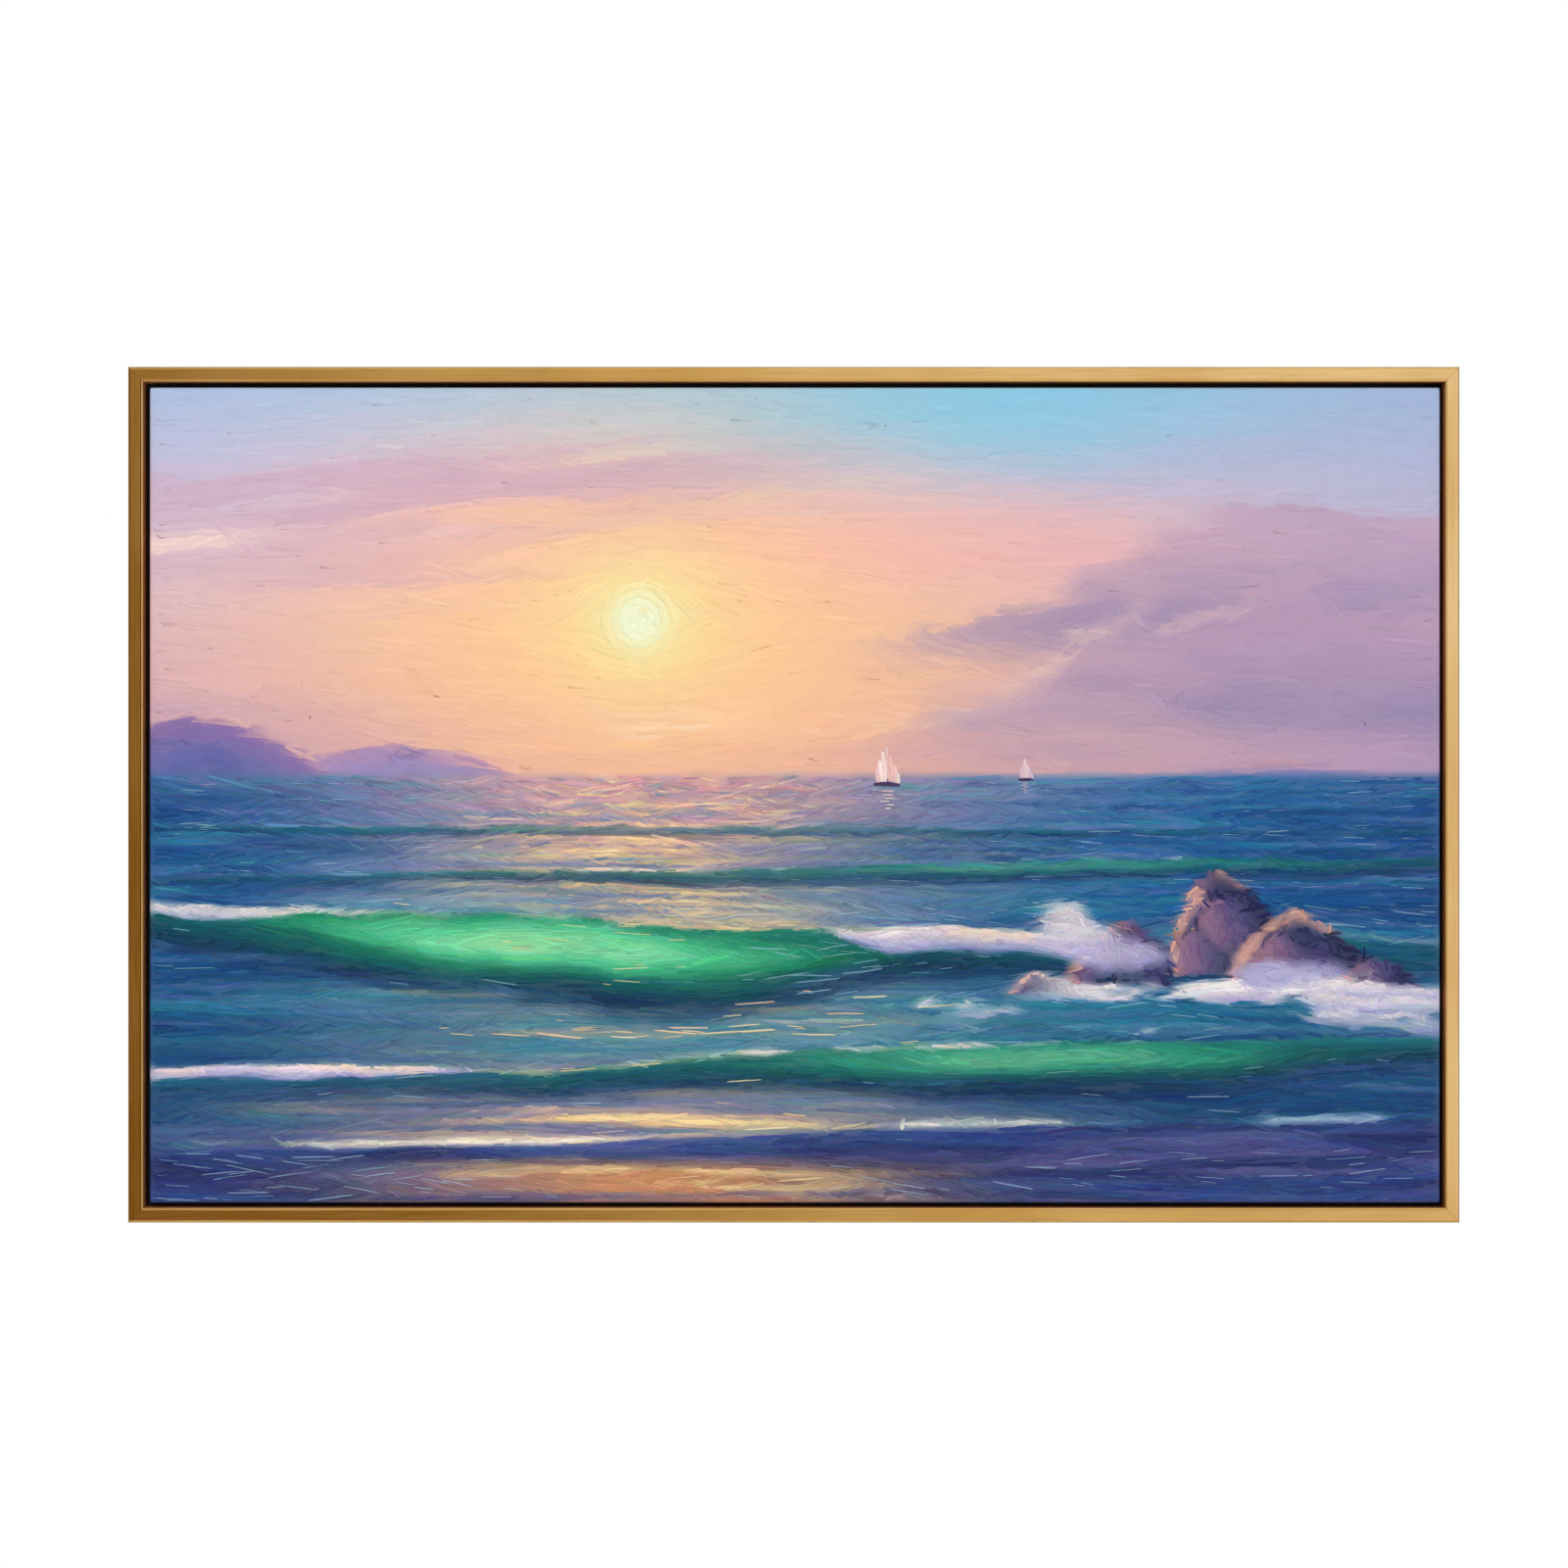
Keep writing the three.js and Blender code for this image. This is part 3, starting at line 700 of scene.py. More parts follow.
def rocks(x, v, colour):
    """Each rock's tone falls from its sunny left to its right, stepped by its planes."""
    for rock in ROCKS:
        seed = rock[-1]
        inside, s, down = rock_shape(x, v, rock)
        plane, seam = planes(x * 17 + v * 11, v * 14 - x * 6, seed + 3)
        rough = plane + 0.35 * fractal(x * 24, v * 30, seed + 4, 3)
        tone = stops(s * 1.1 + rough * 0.75 + 0.25, [-1.1, -0.45, 0.0, 0.5, 1.2], [
            (186, 128, 134), (120, 92, 130), (74, 66, 118), (40, 42, 88), (22, 26, 62)])
        tone = mix(tone, (78, 104, 164), 0.55 * smooth(rough, 0.25, 0.9) * smooth(s, -0.3, 0.6))
        sunlit = smooth(0.16 - down + 0.16 * rough - 0.16 * s, 0.02, 0.2)
        tone = mix(tone, (240, 178, 150), 0.85 * sunlit)
        tone = mix(tone, (22, 30, 62), 0.35 * (1 - smooth(seam, 0.0, 0.14)))
        tone = mix(tone, (20, 50, 70), 0.6 * smooth(down, 0.55, 0.95))
        colour = mix(colour, tone, inside)
    return colour


# %% Surf and wash
SPRAYS = (  # x, v, and how far each reaches across and up
    (1.225, 0.700, 0.075, 0.040),
    (1.130, 0.665, 0.050, 0.045),
    (1.450, 0.715, 0.060, 0.025),
    (1.360, 0.720, 0.040, 0.020),
)
FOAM_LINES = (  # v, where it starts, thickness and strength
    (0.738, 1.02, 0.016, 1.0),
    (0.757, 0.82, 0.008, 0.85),
    (0.778, 0.95, 0.004, 0.7),
)


def surf(x, v, colour):
    """Foam lying round the rocks in three broken lines, and the spray behind them."""
    lace, fine = fractal(x * 9, v * 26, 141), fractal(x * 22, v * 60, 143, 3)
    line_bend = 0.018 * wavy(x, 5, 142) + 0.02 * np.abs(x - 1.3)
    for level, left, thick, power in FOAM_LINES:
        beyond = v - level - line_bend
        foam = smooth(thick - np.abs(beyond) + 0.024 * lace + 0.012 * fine, 0, 0.009)
        foam = foam * smooth(x, left, left + 0.15)
        tone = mix((240, 230, 228), (160, 160, 206), smooth(beyond + 0.006 * fine, -0.01, 0.016))
        colour = mix(colour, tone, power * foam)
    cloud = sum(bell(x, sx, rx) * bell(v, sv, rv) for sx, sv, rx, rv in SPRAYS)
    spray = smooth(cloud + 0.45 * fractal(x * 13, v * 16, 151) - 0.1, 0.42, 0.8)
    tone = mix((246, 230, 222), (172, 170, 212), smooth(v + 0.02 * fine, 0.62, 0.73))
    return mix(colour, tone, 0.9 * spray)


def wash(x, v, colour):
    """Thin water along the lower edge, with the sun's warmth on wet sand."""
    edge = 0.925 + 0.012 * wavy(x, 2.6, 161) - 0.030 * smooth(x, 0.2, 1.4)
    tone = mix((44, 70, 132), (30, 42, 96), patchy(x, v, 3, 50, 163, -0.3, 0.4))
    tone = mix(tone, (112, 104, 160), 0.6 * patchy(x, v, 2.2, 40, 164, 0.05, 0.5))
    glow = bell(x, SUN_X + 0.02, 0.30) * smooth(fractal(x * 2.4, v * 44, 165) + 0.25, -0.1, 0.4)
    glow = glow * smooth(v, 0.935, 0.965)
    tone = mix(tone, (214, 146, 88), 0.9 * glow)
    tone = mix(tone, (246, 214, 150), 0.8 * glow * patchy(x, v, 4, 80, 166, 0.2, 0.5))
    colour = mix(colour, tone, 0.95 * smooth(v - edge, 0, 0.006))
    lip = bell(v, edge, 0.0035 + 0.003 * smooth(wavy(x, 6, 167, 2), -0.2, 0.5))
    lip = lip * patchy(x, v, 7, 30, 168, -0.45, 0.1, 3)
    tone = mix((244, 236, 214), (176, 206, 220), smooth(np.abs(x - SUN_X), 0.2, 0.9))
    return mix(colour, tone, 0.9 * lip)


# %% The plan as rows of colours
PLAN_WIDE = 860  # points across the plan
PLAN_TALL = round(PLAN_WIDE / ASPECT)
LIGHTNESS = np.array((0.3, 0.59, 0.11))  # how much red, green and blue each add to it


def picture(x, v):
    """The picture's colours on rows of points: sky above the horizon, sea below it."""
    up = v[:, 0] < HORIZON
    above = isles(x[up], v[up], sky(x[up], v[up]))
    x, v = x[~up], v[~up]
    below = wash(x, v, surf(x, v, rocks(x, v, swells(x, v, open_water(x, v)))))
    return np.clip(np.concatenate([above, below]), 0, 1)


def soften(rows, reach):
    """Each value becomes the mean of those within reach on both sides, twice over."""
    for axis in (0, 1, 0, 1):
        ends = [(reach + 1, reach) if k == axis else (0, 0) for k in range(rows.ndim)]
        summed = np.cumsum(np.pad(rows, ends, mode="edge"), axis=axis)
        size = rows.shape[axis]
        upper = np.take(summed, np.arange(size) + 2 * reach + 1, axis=axis)
        rows = (upper - np.take(summed, np.arange(size), axis=axis)) / (2 * reach + 1)
    return rows


plan_x, plan_v = np.meshgrid(
    (np.arange(PLAN_WIDE) + 0.5) / PLAN_WIDE * ASPECT, (np.arange(PLAN_TALL) + 0.5) / PLAN_TALL)
plan = picture(plan_x, plan_v)
soft_plan = soften(plan, 2)
plan_down, plan_across = np.gradient(soften(plan @ LIGHTNESS, 3), 1 / PLAN_TALL)
plan_edges = soften(np.hypot(plan_across, plan_down), 2)


def read(rows, x, v):
    """The value of the plan's rows at x, v, on straight lines between its points."""
    px = np.clip(x / ASPECT * PLAN_WIDE - 0.5, 0, PLAN_WIDE - 1.001)
    py = np.clip(v * PLAN_TALL - 0.5, 0, PLAN_TALL - 1.001)
    ix, iy = px.astype(int), py.astype(int)
    fx, fy = px - ix, py - iy
    if rows.ndim == 3:
        fx, fy = fx[..., None], fy[..., None]
    upper = rows[iy, ix] * (1 - fx) + rows[iy, ix + 1] * fx
    lower = rows[iy + 1, ix] * (1 - fx) + rows[iy + 1, ix + 1] * fx
    return upper * (1 - fy) + lower * fy


print("plan of", PLAN_WIDE, "by", PLAN_TALL, "colours, mean", plan.mean((0, 1)).round(2))
# %% [markdown]
# ## Meshes from arrays
#
# Each new piece is a surface worked out as whole arrays: points, then faces that name
# their corners, then what varies over the surface. `put` hands such arrays to Blender in
# one go, which is far quicker than adding points one by one. The piece then rides with
# the rest of the picture and takes the finish it is given.


# %% A piece from arrays
def put(name, points, faces, material, values=None, maps=None):
    """Makes a piece. faces is a list of arrays of corners, with one row for each face.

    values holds a number or a colour for each point. maps holds a UV map for each name,
    with a place for each corner of each face."""
    corners = np.concatenate([rows.ravel() for rows in faces])
    sizes = np.concatenate([np.full(len(rows), rows.shape[1]) for rows in faces])
    mesh = bpy.data.meshes.new(name)
    mesh.vertices.add(len(points))
    mesh.vertices.foreach_set("co", np.ascontiguousarray(points, dtype=np.float32).ravel())
    mesh.loops.add(len(corners))
    mesh.loops.foreach_set("vertex_index", corners.astype(np.int32))
    mesh.polygons.add(len(sizes))
    mesh.polygons.foreach_set("loop_start", (np.cumsum(sizes) - sizes).astype(np.int32))
    mesh.update(calc_edges=True)
    for title, rows in (values or {}).items():
        kind, field = ("FLOAT", "value") if rows.ndim == 1 else ("FLOAT_COLOR", "color")
        if rows.ndim == 2:
            rows = np.column_stack([rows, np.ones(len(rows))])
        layer = mesh.attributes.new(title, kind, "POINT")
        layer.data.foreach_set(field, rows.astype(np.float32).ravel())
    for title, rows in (maps or {}).items():
        mesh.uv_layers.new(name=title).data.foreach_set("uv", rows.astype(np.float32).ravel())
    mesh.validate()
    mesh.shade_smooth()
    mesh.materials.append(material)
    made = bpy.data.objects.new(name, mesh)
    bpy.context.scene.collection.objects.link(made)
    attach(made, "root")
    print(name, "has", int((sizes - 2).sum()), "triangles")
    return made


# %% [markdown]
# ## The canvas
#
# A stretched canvas is one sheet of cloth. It lies over the front of the bars, rolls
# round their edge, runs down the sides, turns over the back and ends there in a cut edge
# held by staples. So it is made as one sheet: a grid in front, then loops of points
# carried round the bars, each loop smaller or further back than the last, and then the
# same way back inside as the cloth's other face. The front and its roll have a fine
# grid, and every fourth point is carried on to the coarser loops behind.
#
# A point of a loop keeps its share of the way along its side, so a loop is the front's
# edge scaled to its own width and height: x' = x * (half width - inset) / half width.

# %% Loops of the cloth
COLUMNS, ROWS = 360, 228  # cells across and down the front
COARSE = 4  # how many of them one cell behind takes up
ROLL = 2.6 * MM  # radius of the rolled edge
CORNER_ROUND = 1.6 * MM
FRONT_THICK, CLOTH_THICK = 1.2 * MM, 0.9 * MM
FOLD = 24 * MM  # how far the cloth is turned in behind
FRAYED = 0.5 * MM  # how unevenly its last edge is cut
FOLD_BACK = -canvas_high[1]
half = np.array((CANVAS_WIDE, CANVAS_TALL)) / 2
chance = np.random.default_rng(20)


def grid(columns, rows, inset):
    """Points on a rectangle set in from the canvas's edge, row by row from the top left."""
    x = np.linspace(-1, 1, columns + 1) * (half[0] - inset)
    z = np.linspace(1, -1, rows + 1) * (half[1] - inset)
    return np.stack(np.meshgrid(x, z), -1).reshape(-1, 2)


def rim(columns, rows):
    """The places in a grid's list of its outer points, clockwise from the top left."""
    table = np.arange((columns + 1) * (rows + 1)).reshape(rows + 1, columns + 1)
    return np.concatenate([table[0, :-1], table[:-1, -1], table[-1, :0:-1], table[:0:-1, 0]])


def loop_at(flat, inset, ragged=0.0):
    """A loop scaled to its inset, with its four corners drawn in to a small round."""
    reach = half - inset - ragged * chance.standard_normal((len(flat), 1))
    share = flat / np.abs(flat).max(0)
    placed = share * reach
    at_corner = np.all(np.abs(share) > 0.9999, axis=1)
    placed[at_corner] -= np.sign(placed[at_corner]) * CORNER_ROUND * (1 - np.sqrt(0.5))
    return placed


# %% The sheet
def cloth():
    """The sheet's points, unfolded places and sides, and the loops and table they lie in.

    roll, side and fold are the loops of the outer face, and within those of the inner one,
    each as its inset, its depth and how far it lies from the front's edge on the flat."""
    angles = np.radians((22.5, 45, 67.5, 90))
    roll = [(ROLL * (1 - np.sin(a)), FRONT_DEPTH - ROLL * (1 - np.cos(a)), ROLL * a) for a in angles]
    down = [FRONT_DEPTH - ROLL - d * MM for d in (1.5, 8, 15)] + [FOLD_BACK + 0.4 * MM]
    so_far = ROLL * np.pi / 2
    side = [(0.0, depth, so_far + FRONT_DEPTH - ROLL - depth) for depth in down]
    so_far = side[-1][2]
    fold = [(inset, FOLD_BACK, so_far + inset) for inset in (0.4 * MM, 8 * MM, 16 * MM, FOLD)]
    turned = FOLD_BACK + CLOTH_THICK
    within = [(FOLD, turned, 0), (12 * MM, turned, -12 * MM), (CLOTH_THICK, turned, -23 * MM)]
    within += [(CLOTH_THICK, FRONT_DEPTH - 3 * MM, -44 * MM)]
    within += [(FRONT_THICK, FRONT_DEPTH - FRONT_THICK, -46 * MM)]
    full = fold[-1][2] + CLOTH_THICK
    within = [(inset, depth, full + run) for inset, depth, run in within]

    front = grid(COLUMNS, ROWS, ROLL)
    edge = front[rim(COLUMNS, ROWS)]
    points = [np.column_stack([front, np.full(len(front), FRONT_DEPTH)])]
    unfolded, raw = [front], [np.zeros(len(front))]
    loops = [rim(COLUMNS, ROWS)]
    count = len(front)
    for k, (inset, depth, run) in enumerate(roll + side + fold + within):
        flat = edge if k < len(roll) + 1 else edge[::COARSE]
        placed = loop_at(flat, inset, FRAYED if inset == FOLD else 0.0)
        points.append(np.column_stack([placed, np.full(len(flat), depth)]))
        unfolded.append(flat / np.abs(flat).max(0) * (half - ROLL + run))
        raw.append(np.full(len(flat), float(k >= len(roll + side + fold))))
        loops.append(count + np.arange(len(flat)))
        count += len(flat)
    columns, rows = COLUMNS // COARSE, ROWS // COARSE
    inner = grid(columns, rows, FRONT_THICK)
    keep = np.setdiff1d(np.arange(len(inner)), rim(columns, rows))
    table = np.empty(len(inner), int)
    table[rim(columns, rows)] = loops[-1]
    table[keep] = count + np.arange(len(keep))
    points.append(np.column_stack([inner[keep], np.full(len(keep), FRONT_DEPTH - FRONT_THICK)]))
    unfolded.append(inner[keep])
    raw.append(np.ones(len(keep)))
    return np.concatenate(points), np.concatenate(unfolded), np.concatenate(raw), loops, table


def squares(table):
    """Four corners for each cell of a table of points, turned to face the viewer."""
    return np.stack([table[:-1, :-1], table[1:, :-1], table[1:, 1:], table[:-1, 1:]], -1).reshape(-1, 4)


def between(outer, inner):
    """One four-sided face for each cell between two loops, or five triangles where four
    cells of the outer loop meet one of the inner."""
    if len(outer) == len(inner):
        return [np.stack([outer, np.roll(outer, -1), np.roll(inner, -1), inner], -1)]
    fine = np.stack([np.roll(outer, -k)[::COARSE] for k in range(COARSE + 1)], -1)
    a, b, c, d, e = fine.T
    here, following = inner, np.roll(inner, -1)
    fans = [(a, b, here), (b, c, here), (c, following, here), (c, d, following), (d, e, following)]
    return [np.concatenate([np.stack(fan, -1) for fan in fans])]


# %% [markdown]
# ### Cloth, ground and paint as one finish
#
# Cotton duck is a plain weave, about twelve threads to the centimetre. Each crossing of
# two threads stands up as a small crown, so the height is |sin u * sin v|, with half a
# wave for each thread. The raw cloth is painted darker in the grooves between threads, as
# painted shade. The finish follows the cloth's own unfolded map, so threads run on
# round the edges. The paint's colour is read from the plan at each point. It ends
# raggedly down the sides, where the white ground shows, and the inside is raw cloth. A
# dark slanting line at each corner behind, along the edge of its mitred fold, is painted
# shade, and a bump dents the surface there.

# %% Canvas finish
THREAD = 0.85 * MM
PAINT_ENDS = 20 * MM  # the depth at which the paint gives way to the ground, on the sides


def canvas_finish():
    """Paint over white ground over cloth, each shown by a mask of depth, noise or side."""
    finish = Finish("painted_canvas", Specular_IOR_Level=0.4)
    place, x, depth, z = finish.place()
    flat = finish.node("ShaderNodeUVMap", {"uv_map": "cloth"})
    warp, weft = (finish.maths("SINE", part * (np.pi / THREAD)) for part in finish.parts(flat)[:2])
    weave = finish.maths("ABSOLUTE", warp * weft)
    slub = finish.noise(flat, (40, 900, 1), 3)
    raw = finish.attribute("raw")
    ragged = finish.noise(place, (60, 60, 60), 4)
    covered = (depth + ragged * (14 * MM)).ramp(PAINT_ENDS - 0.5 * MM, PAINT_ENDS + 0.5 * MM)
    paint = finish.attribute("paint", "Color")
    mottle = finish.noise(place, (45, 45, 160), 4)
    paint = finish.mix(paint, finish.scaled(paint, (0.93, 0.93, 0.93)), mottle.ramp(0.45, 0.75))
    ground = finish.mix((232, 228, 216), (214, 208, 192), ragged.ramp(0.4, 0.7))
    cloth_colour = finish.mix((206, 192, 164), (178, 160, 128), slub.ramp(0.35, 0.7))
    # Painted shade: the raw cloth turns darker in the grooves between threads, where the weave is low.
    cloth_colour = finish.mix(cloth_colour, (120, 100, 74), weave.ramp(0.0, 0.35, 0.45, 0))
    colour = finish.mix(ground, paint, covered)
    corner_x = half[0] - finish.maths("ABSOLUTE", x - CANVAS_MIDDLE[0])
    corner_z = half[1] - finish.maths("ABSOLUTE", z - CANVAS_MIDDLE[2])
    mitre = finish.maths("ABSOLUTE", corner_x - corner_z).ramp(0.3 * MM, 1.0 * MM, 1, 0)
    mitre = mitre * corner_x.ramp(FOLD, FOLD + 1 * MM, 1, 0) * depth.ramp(6 * MM, 7 * MM, 1, 0)
    # Painted shade: a dark slanting line along the edge of the mitred fold at each corner behind.
    colour = finish.mix(colour, (96, 84, 66), mitre * 0.8)
    finish.set("Base Color", finish.mix(colour, cloth_colour, raw))
    finish.set("Roughness", mottle.ramp(0.3, 0.8, 0.42, 0.56) + raw * 0.35)
    relief = finish.bump(weave + slub * 0.3, 0.12, 0.55)
    finish.set("Normal", finish.bump(mitre, -0.4, 0.8, relief))
    return finish.material


# %% The canvas piece
points, unfolded, raw, loops, inner_table = cloth()
front_table = np.arange((COLUMNS + 1) * (ROWS + 1)).reshape(ROWS + 1, COLUMNS + 1)
outer_faces = [squares(front_table)]
inside_from = len(loops) - 5  # the last five loops belong to the inner face
inner_faces = []
for k in range(len(loops) - 1):
    (outer_faces if k < inside_from else inner_faces).extend(between(loops[k], loops[k + 1]))
inner_faces.append(squares(inner_table.reshape(ROWS // COARSE + 1, COLUMNS // COARSE + 1))[:, ::-1])

across = points[:, 0] + half[0]
downward = half[1] - points[:, 1]
paint = read(soft_plan, across / CANVAS_TALL, downward / CANVAS_TALL)
sheet_half = np.abs(unfolded).max(0)


def corner_maps(outer, inner):
    """The cloth map in metres, and a map where both faces lie open, one above the other."""
    first = unfolded[np.concatenate([rows.ravel() for rows in outer])]
    second = unfolded[np.concatenate([rows.ravel() for rows in inner])]
    share = [(part / sheet_half + 1) / 2 * 0.98 + 0.01 for part in (first, second)]
    share[0] = share[0] * (1, 0.62) + (0, 0.38)
    share[1] = share[1] * (1, 0.37)
    return {"cloth": np.concatenate([first, second]), "OFBake": np.concatenate(share)}


placed = np.column_stack([
    points[:, 0] + CANVAS_MIDDLE[0], -points[:, 2], points[:, 1] + CANVAS_MIDDLE[2]])
canvas = put(
    "canvas_cloth", placed, outer_faces + inner_faces, canvas_finish(),
    {"paint": linear(paint), "raw": raw}, corner_maps(outer_faces, inner_faces))
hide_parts("canvas")
# %% [markdown]
# ## Brush strokes
#
# Oil paint stands up where the brush leaves it, and the eye reads each mark. So the
# paint that shows is thousands of strokes, each a small ribbon lying on the canvas. A
# stroke has a few steps along it and a few lanes across. Its half width at s, from -1 to
# 1 along it, is 0.25 + 0.75 * sqrt(1 - |s|^3.2) of the full one, so its ends are blunt
# with rounded corners. Its lanes have heights of their own, as bristles leave them, and
# its rim dips just under the cloth. It lies along the picture's contours, at right angles
# to the way the plan's lightness changes, and takes its colours from the plan, a little
# off, as paint mixed by hand is.

# %% One pass of strokes
brush = np.random.default_rng(5)
UNIT = MM / CANVAS_TALL  # a millimetre, in canvas heights
MARGIN = 2 * UNIT  # what strokes keep clear along the canvas's edge
RIM = -0.1  # height of a stroke's rim, in mm: just under the cloth


def lanes_of(number):
    """Places along or across a stroke, from -1 to 1: 1.5t - 0.5t^3, closer near both ends."""
    t = np.linspace(-1, 1, number)
    return t * (1.5 - 0.5 * t * t)


def scatter(count, where):
    """Places for that many strokes. where(x, v) is the chance that one falls there."""
    x, v = brush.random(count * 16) * ASPECT, brush.random(count * 16)
    keep = np.flatnonzero(brush.random(len(x)) < where(x, v))[:count]
    return x[keep], v[keep]


def contour_angle(x, v, follow, turn, spread, grip):
    """The way the plan's contour runs, at right angles to how its lightness changes.

    It counts in full where the lightness changes as fast as grip, and is at most turn."""
    across, down = read(plan_across, x, v), read(plan_down, x, v)
    flow = np.arctan2(-across, down)
    flow = np.where(np.abs(flow) > np.pi / 2, flow - np.sign(flow) * np.pi, flow)
    firm = np.clip(np.hypot(across, down) / grip, 0, 1) * follow
    return np.clip(flow * firm, -turn, turn) + spread * brush.standard_normal(len(x))


def ribbons(x, v, long, broad, angle, steps=7, lanes=6, level=0.2, thick=0.3, stack=0.1,
            tint=0.025, local=0.55, recolour=None, curve=1.0, source=plan, span=(0, 1)):
    """Strokes at x, v, of that length, width and angle, kept within the canvas and span.

    level is a stroke's least height, thick what its ridges add, and stack what the last
    stroke of a pass gains over the first, all in mm. tint is how far its colours stray,
    and local how much they change along it as source does. Returns their places, heights,
    colours and maps, each as (stroke, step, lane)."""
    n = len(x)
    long, broad, angle = (np.broadcast_to(a, n)[:, None, None] for a in (long, broad, angle))
    t = lanes_of(lanes)[None, None, :]
    s = lanes_of(steps)[None, :, None]
    bend = 0.05 * curve * brush.standard_normal((n, 1, 1))
    half_width = broad / 2 * (0.25 + 0.75 * np.sqrt(np.clip(1 - np.abs(s) ** 3.2, 0, 1)))
    uneven = 1 + 0.03 * np.clip(brush.standard_normal((n, 1, lanes)), -2, 2) * s**4
    along = s / 2 * long * uneven
    out = t * half_width + 0.10 * broad * brush.standard_normal((n, steps, 1))
    out = out + bend * s**2 * long / 4
    cos, sin = np.cos(angle), np.sin(angle)
    dx, dv = along * cos - out * sin, along * sin + out * cos
    reach_x, reach_v = np.abs(dx).max((1, 2)) + MARGIN, np.abs(dv).max((1, 2))
    upper, lower = max(span[0], MARGIN) + reach_v, min(span[1], 1 - MARGIN) - reach_v
    x = np.clip(x, reach_x, ASPECT - reach_x)[:, None, None]
    v = np.clip(v, upper, lower)[:, None, None]
    from_x = x + local * along * cos - 0.3 * out * sin
    from_v = v + local * along * sin + 0.3 * out * cos
    colour = read(source, from_x, from_v)
    if recolour is not None:
        colour = recolour(colour)
    colour = colour * (1 + tint * brush.standard_normal((n, 1, 1, 1)))
    colour = colour + tint * 0.6 * brush.standard_normal((n, 1, 1, 3))
    colour = colour + tint * 0.8 * brush.standard_normal((n, 1, lanes, 1))
    ridges = 0.45 + 0.55 * brush.random((n, 1, lanes))
    load = 0.55 + 0.45 * brush.random((n, steps, 1))
    order = np.arange(n)[:, None, None] / n
    high = level + stack * order + thick * ridges * load * (1 - np.abs(s) ** 6)
    high = np.where((np.abs(t) > 0.999) | (np.abs(s) > 0.999), RIM, high)
    bristle = np.stack(np.broadcast_arrays(s / 2 * long + x, t * broad / 2 + v * 7), -1)
    inside = np.stack(np.broadcast_arrays(s / 2 + 0.5, t / 2 + 0.5, 0 * x), -1)[..., :2]
    return x + dx, v + dv, high, np.clip(colour, 0, 1), bristle * CANVAS_TALL, inside


def strokes(count, where, length, width, follow=1.0, spread=0.12, turn=0.35, grip=1.5, **manner):
    """A pass of strokes with lengths and widths in mm. Longer strokes are broader too.

    Their angles stray by spread. manner is handed on to ribbons."""
    x, v = scatter(count, where)
    long = (length[0] + (length[1] - length[0]) * brush.random(len(x)) ** 1.5) * UNIT
    broad = (width[0] + (width[1] - width[0]) * brush.random(len(x))) * UNIT
    broad = broad * (0.5 + 0.5 * long / (length[1] * UNIT))
    return ribbons(x, v, long, broad, contour_angle(x, v, follow, turn, spread, grip), **manner)


def layer_of(name, passes, material):
    """Joins passes of strokes into one piece. Each stroke has its own cell of one map."""
    total = sum(len(laid[0]) for laid in passes)
    cells = int(np.ceil(np.sqrt(total)))
    points, colours, bristles, places, faces = [], [], [], [], []
    first = done = 0
    for x, v, high, colour, bristle, inside in passes:
        table = first + np.arange(x.size).reshape(x.shape)
        near, far = table[:, :-1], table[:, 1:]
        quads = np.stack([near[..., :-1], near[..., 1:], far[..., 1:], far[..., :-1]], -1)
        faces.append(quads.reshape(-1, 4))
        first += x.size
        number = done + np.arange(len(x))
        done += len(x)
        cell = np.column_stack([number % cells, number // cells])[:, None, None, :]
        places.append(((cell + 0.12 + 0.76 * inside) / cells).reshape(-1, 2))
        points.append(np.column_stack([
            (canvas_low[0] + x * CANVAS_TALL).ravel(), -(FRONT_DEPTH + high * MM).ravel(),
            (canvas_high[2] - v * CANVAS_TALL).ravel()]))
        colours.append(linear(colour).reshape(-1, 3))
        bristles.append(bristle.reshape(-1, 2))
    corners = np.concatenate(faces).ravel()
    maps = {"bristles": np.concatenate(bristles)[corners], "OFBake": np.concatenate(places)[corners]}
    values = {"paint": np.concatenate(colours)}
    put(name, np.concatenate(points), faces, material, values, maps)
    print(name, "holds", total, "strokes")


# %% [markdown]
# ### Paint as a finish
#
# Dried oil paint has a soft satin gloss, glossier where it is thick. Bristles leave fine
# furrows along each stroke, so the furrows follow the stroke's own map, which counts
# metres along it and across it.

# %% Paint finish
def paint_finish(name, furrow, plain):
    """Satin paint with furrows that many millimetres deep, and plain as its roughness."""
    finish = Finish(name, Specular_IOR_Level=0.14)
    along = finish.node("ShaderNodeUVMap", {"uv_map": "bristles"})
    hairs = finish.noise(along, (45, 1500, 1), 3)
    drag = finish.noise(along, (110, 600, 1), 2)
    paint = finish.attribute("paint", "Color")
    deeper = finish.scaled(paint, (0.90, 0.91, 0.93))
    lighter = finish.scaled(paint, (1.06, 1.05, 1.03))
    colour = finish.mix(paint, deeper, hairs.ramp(0.50, 0.80, 0, 0.8))
    finish.set("Base Color", finish.mix(colour, lighter, drag.ramp(0.5, 0.8, 0, 0.7)))
    finish.set("Roughness", hairs.ramp(0.3, 0.7, plain - 0.05, plain + 0.08))
    finish.set("Normal", finish.bump(hairs + drag * 0.6, furrow, 0.6))
    return finish.material


sky_paint = paint_finish("sky_paint", 0.05, 0.50)
sea_paint = paint_finish("sea_paint", 0.12, 0.44)
thick_paint = paint_finish("thick_paint", 0.20, 0.40)

# %% [markdown]
# ### The passes
#
# The painter works from broad to fine. First the sky, laid in with a wide soft brush and
# blended, then crisper touches where its colours meet, and dabs that go round the sun.
# Then the water, in long level strokes and finer ones over them, then the swells, the
# rocks and the foam. Last come single touches of pure light. Each pass falls where a
# simple chance says: in the sky, on water, near an edge of the plan, or along the sun's
# path.

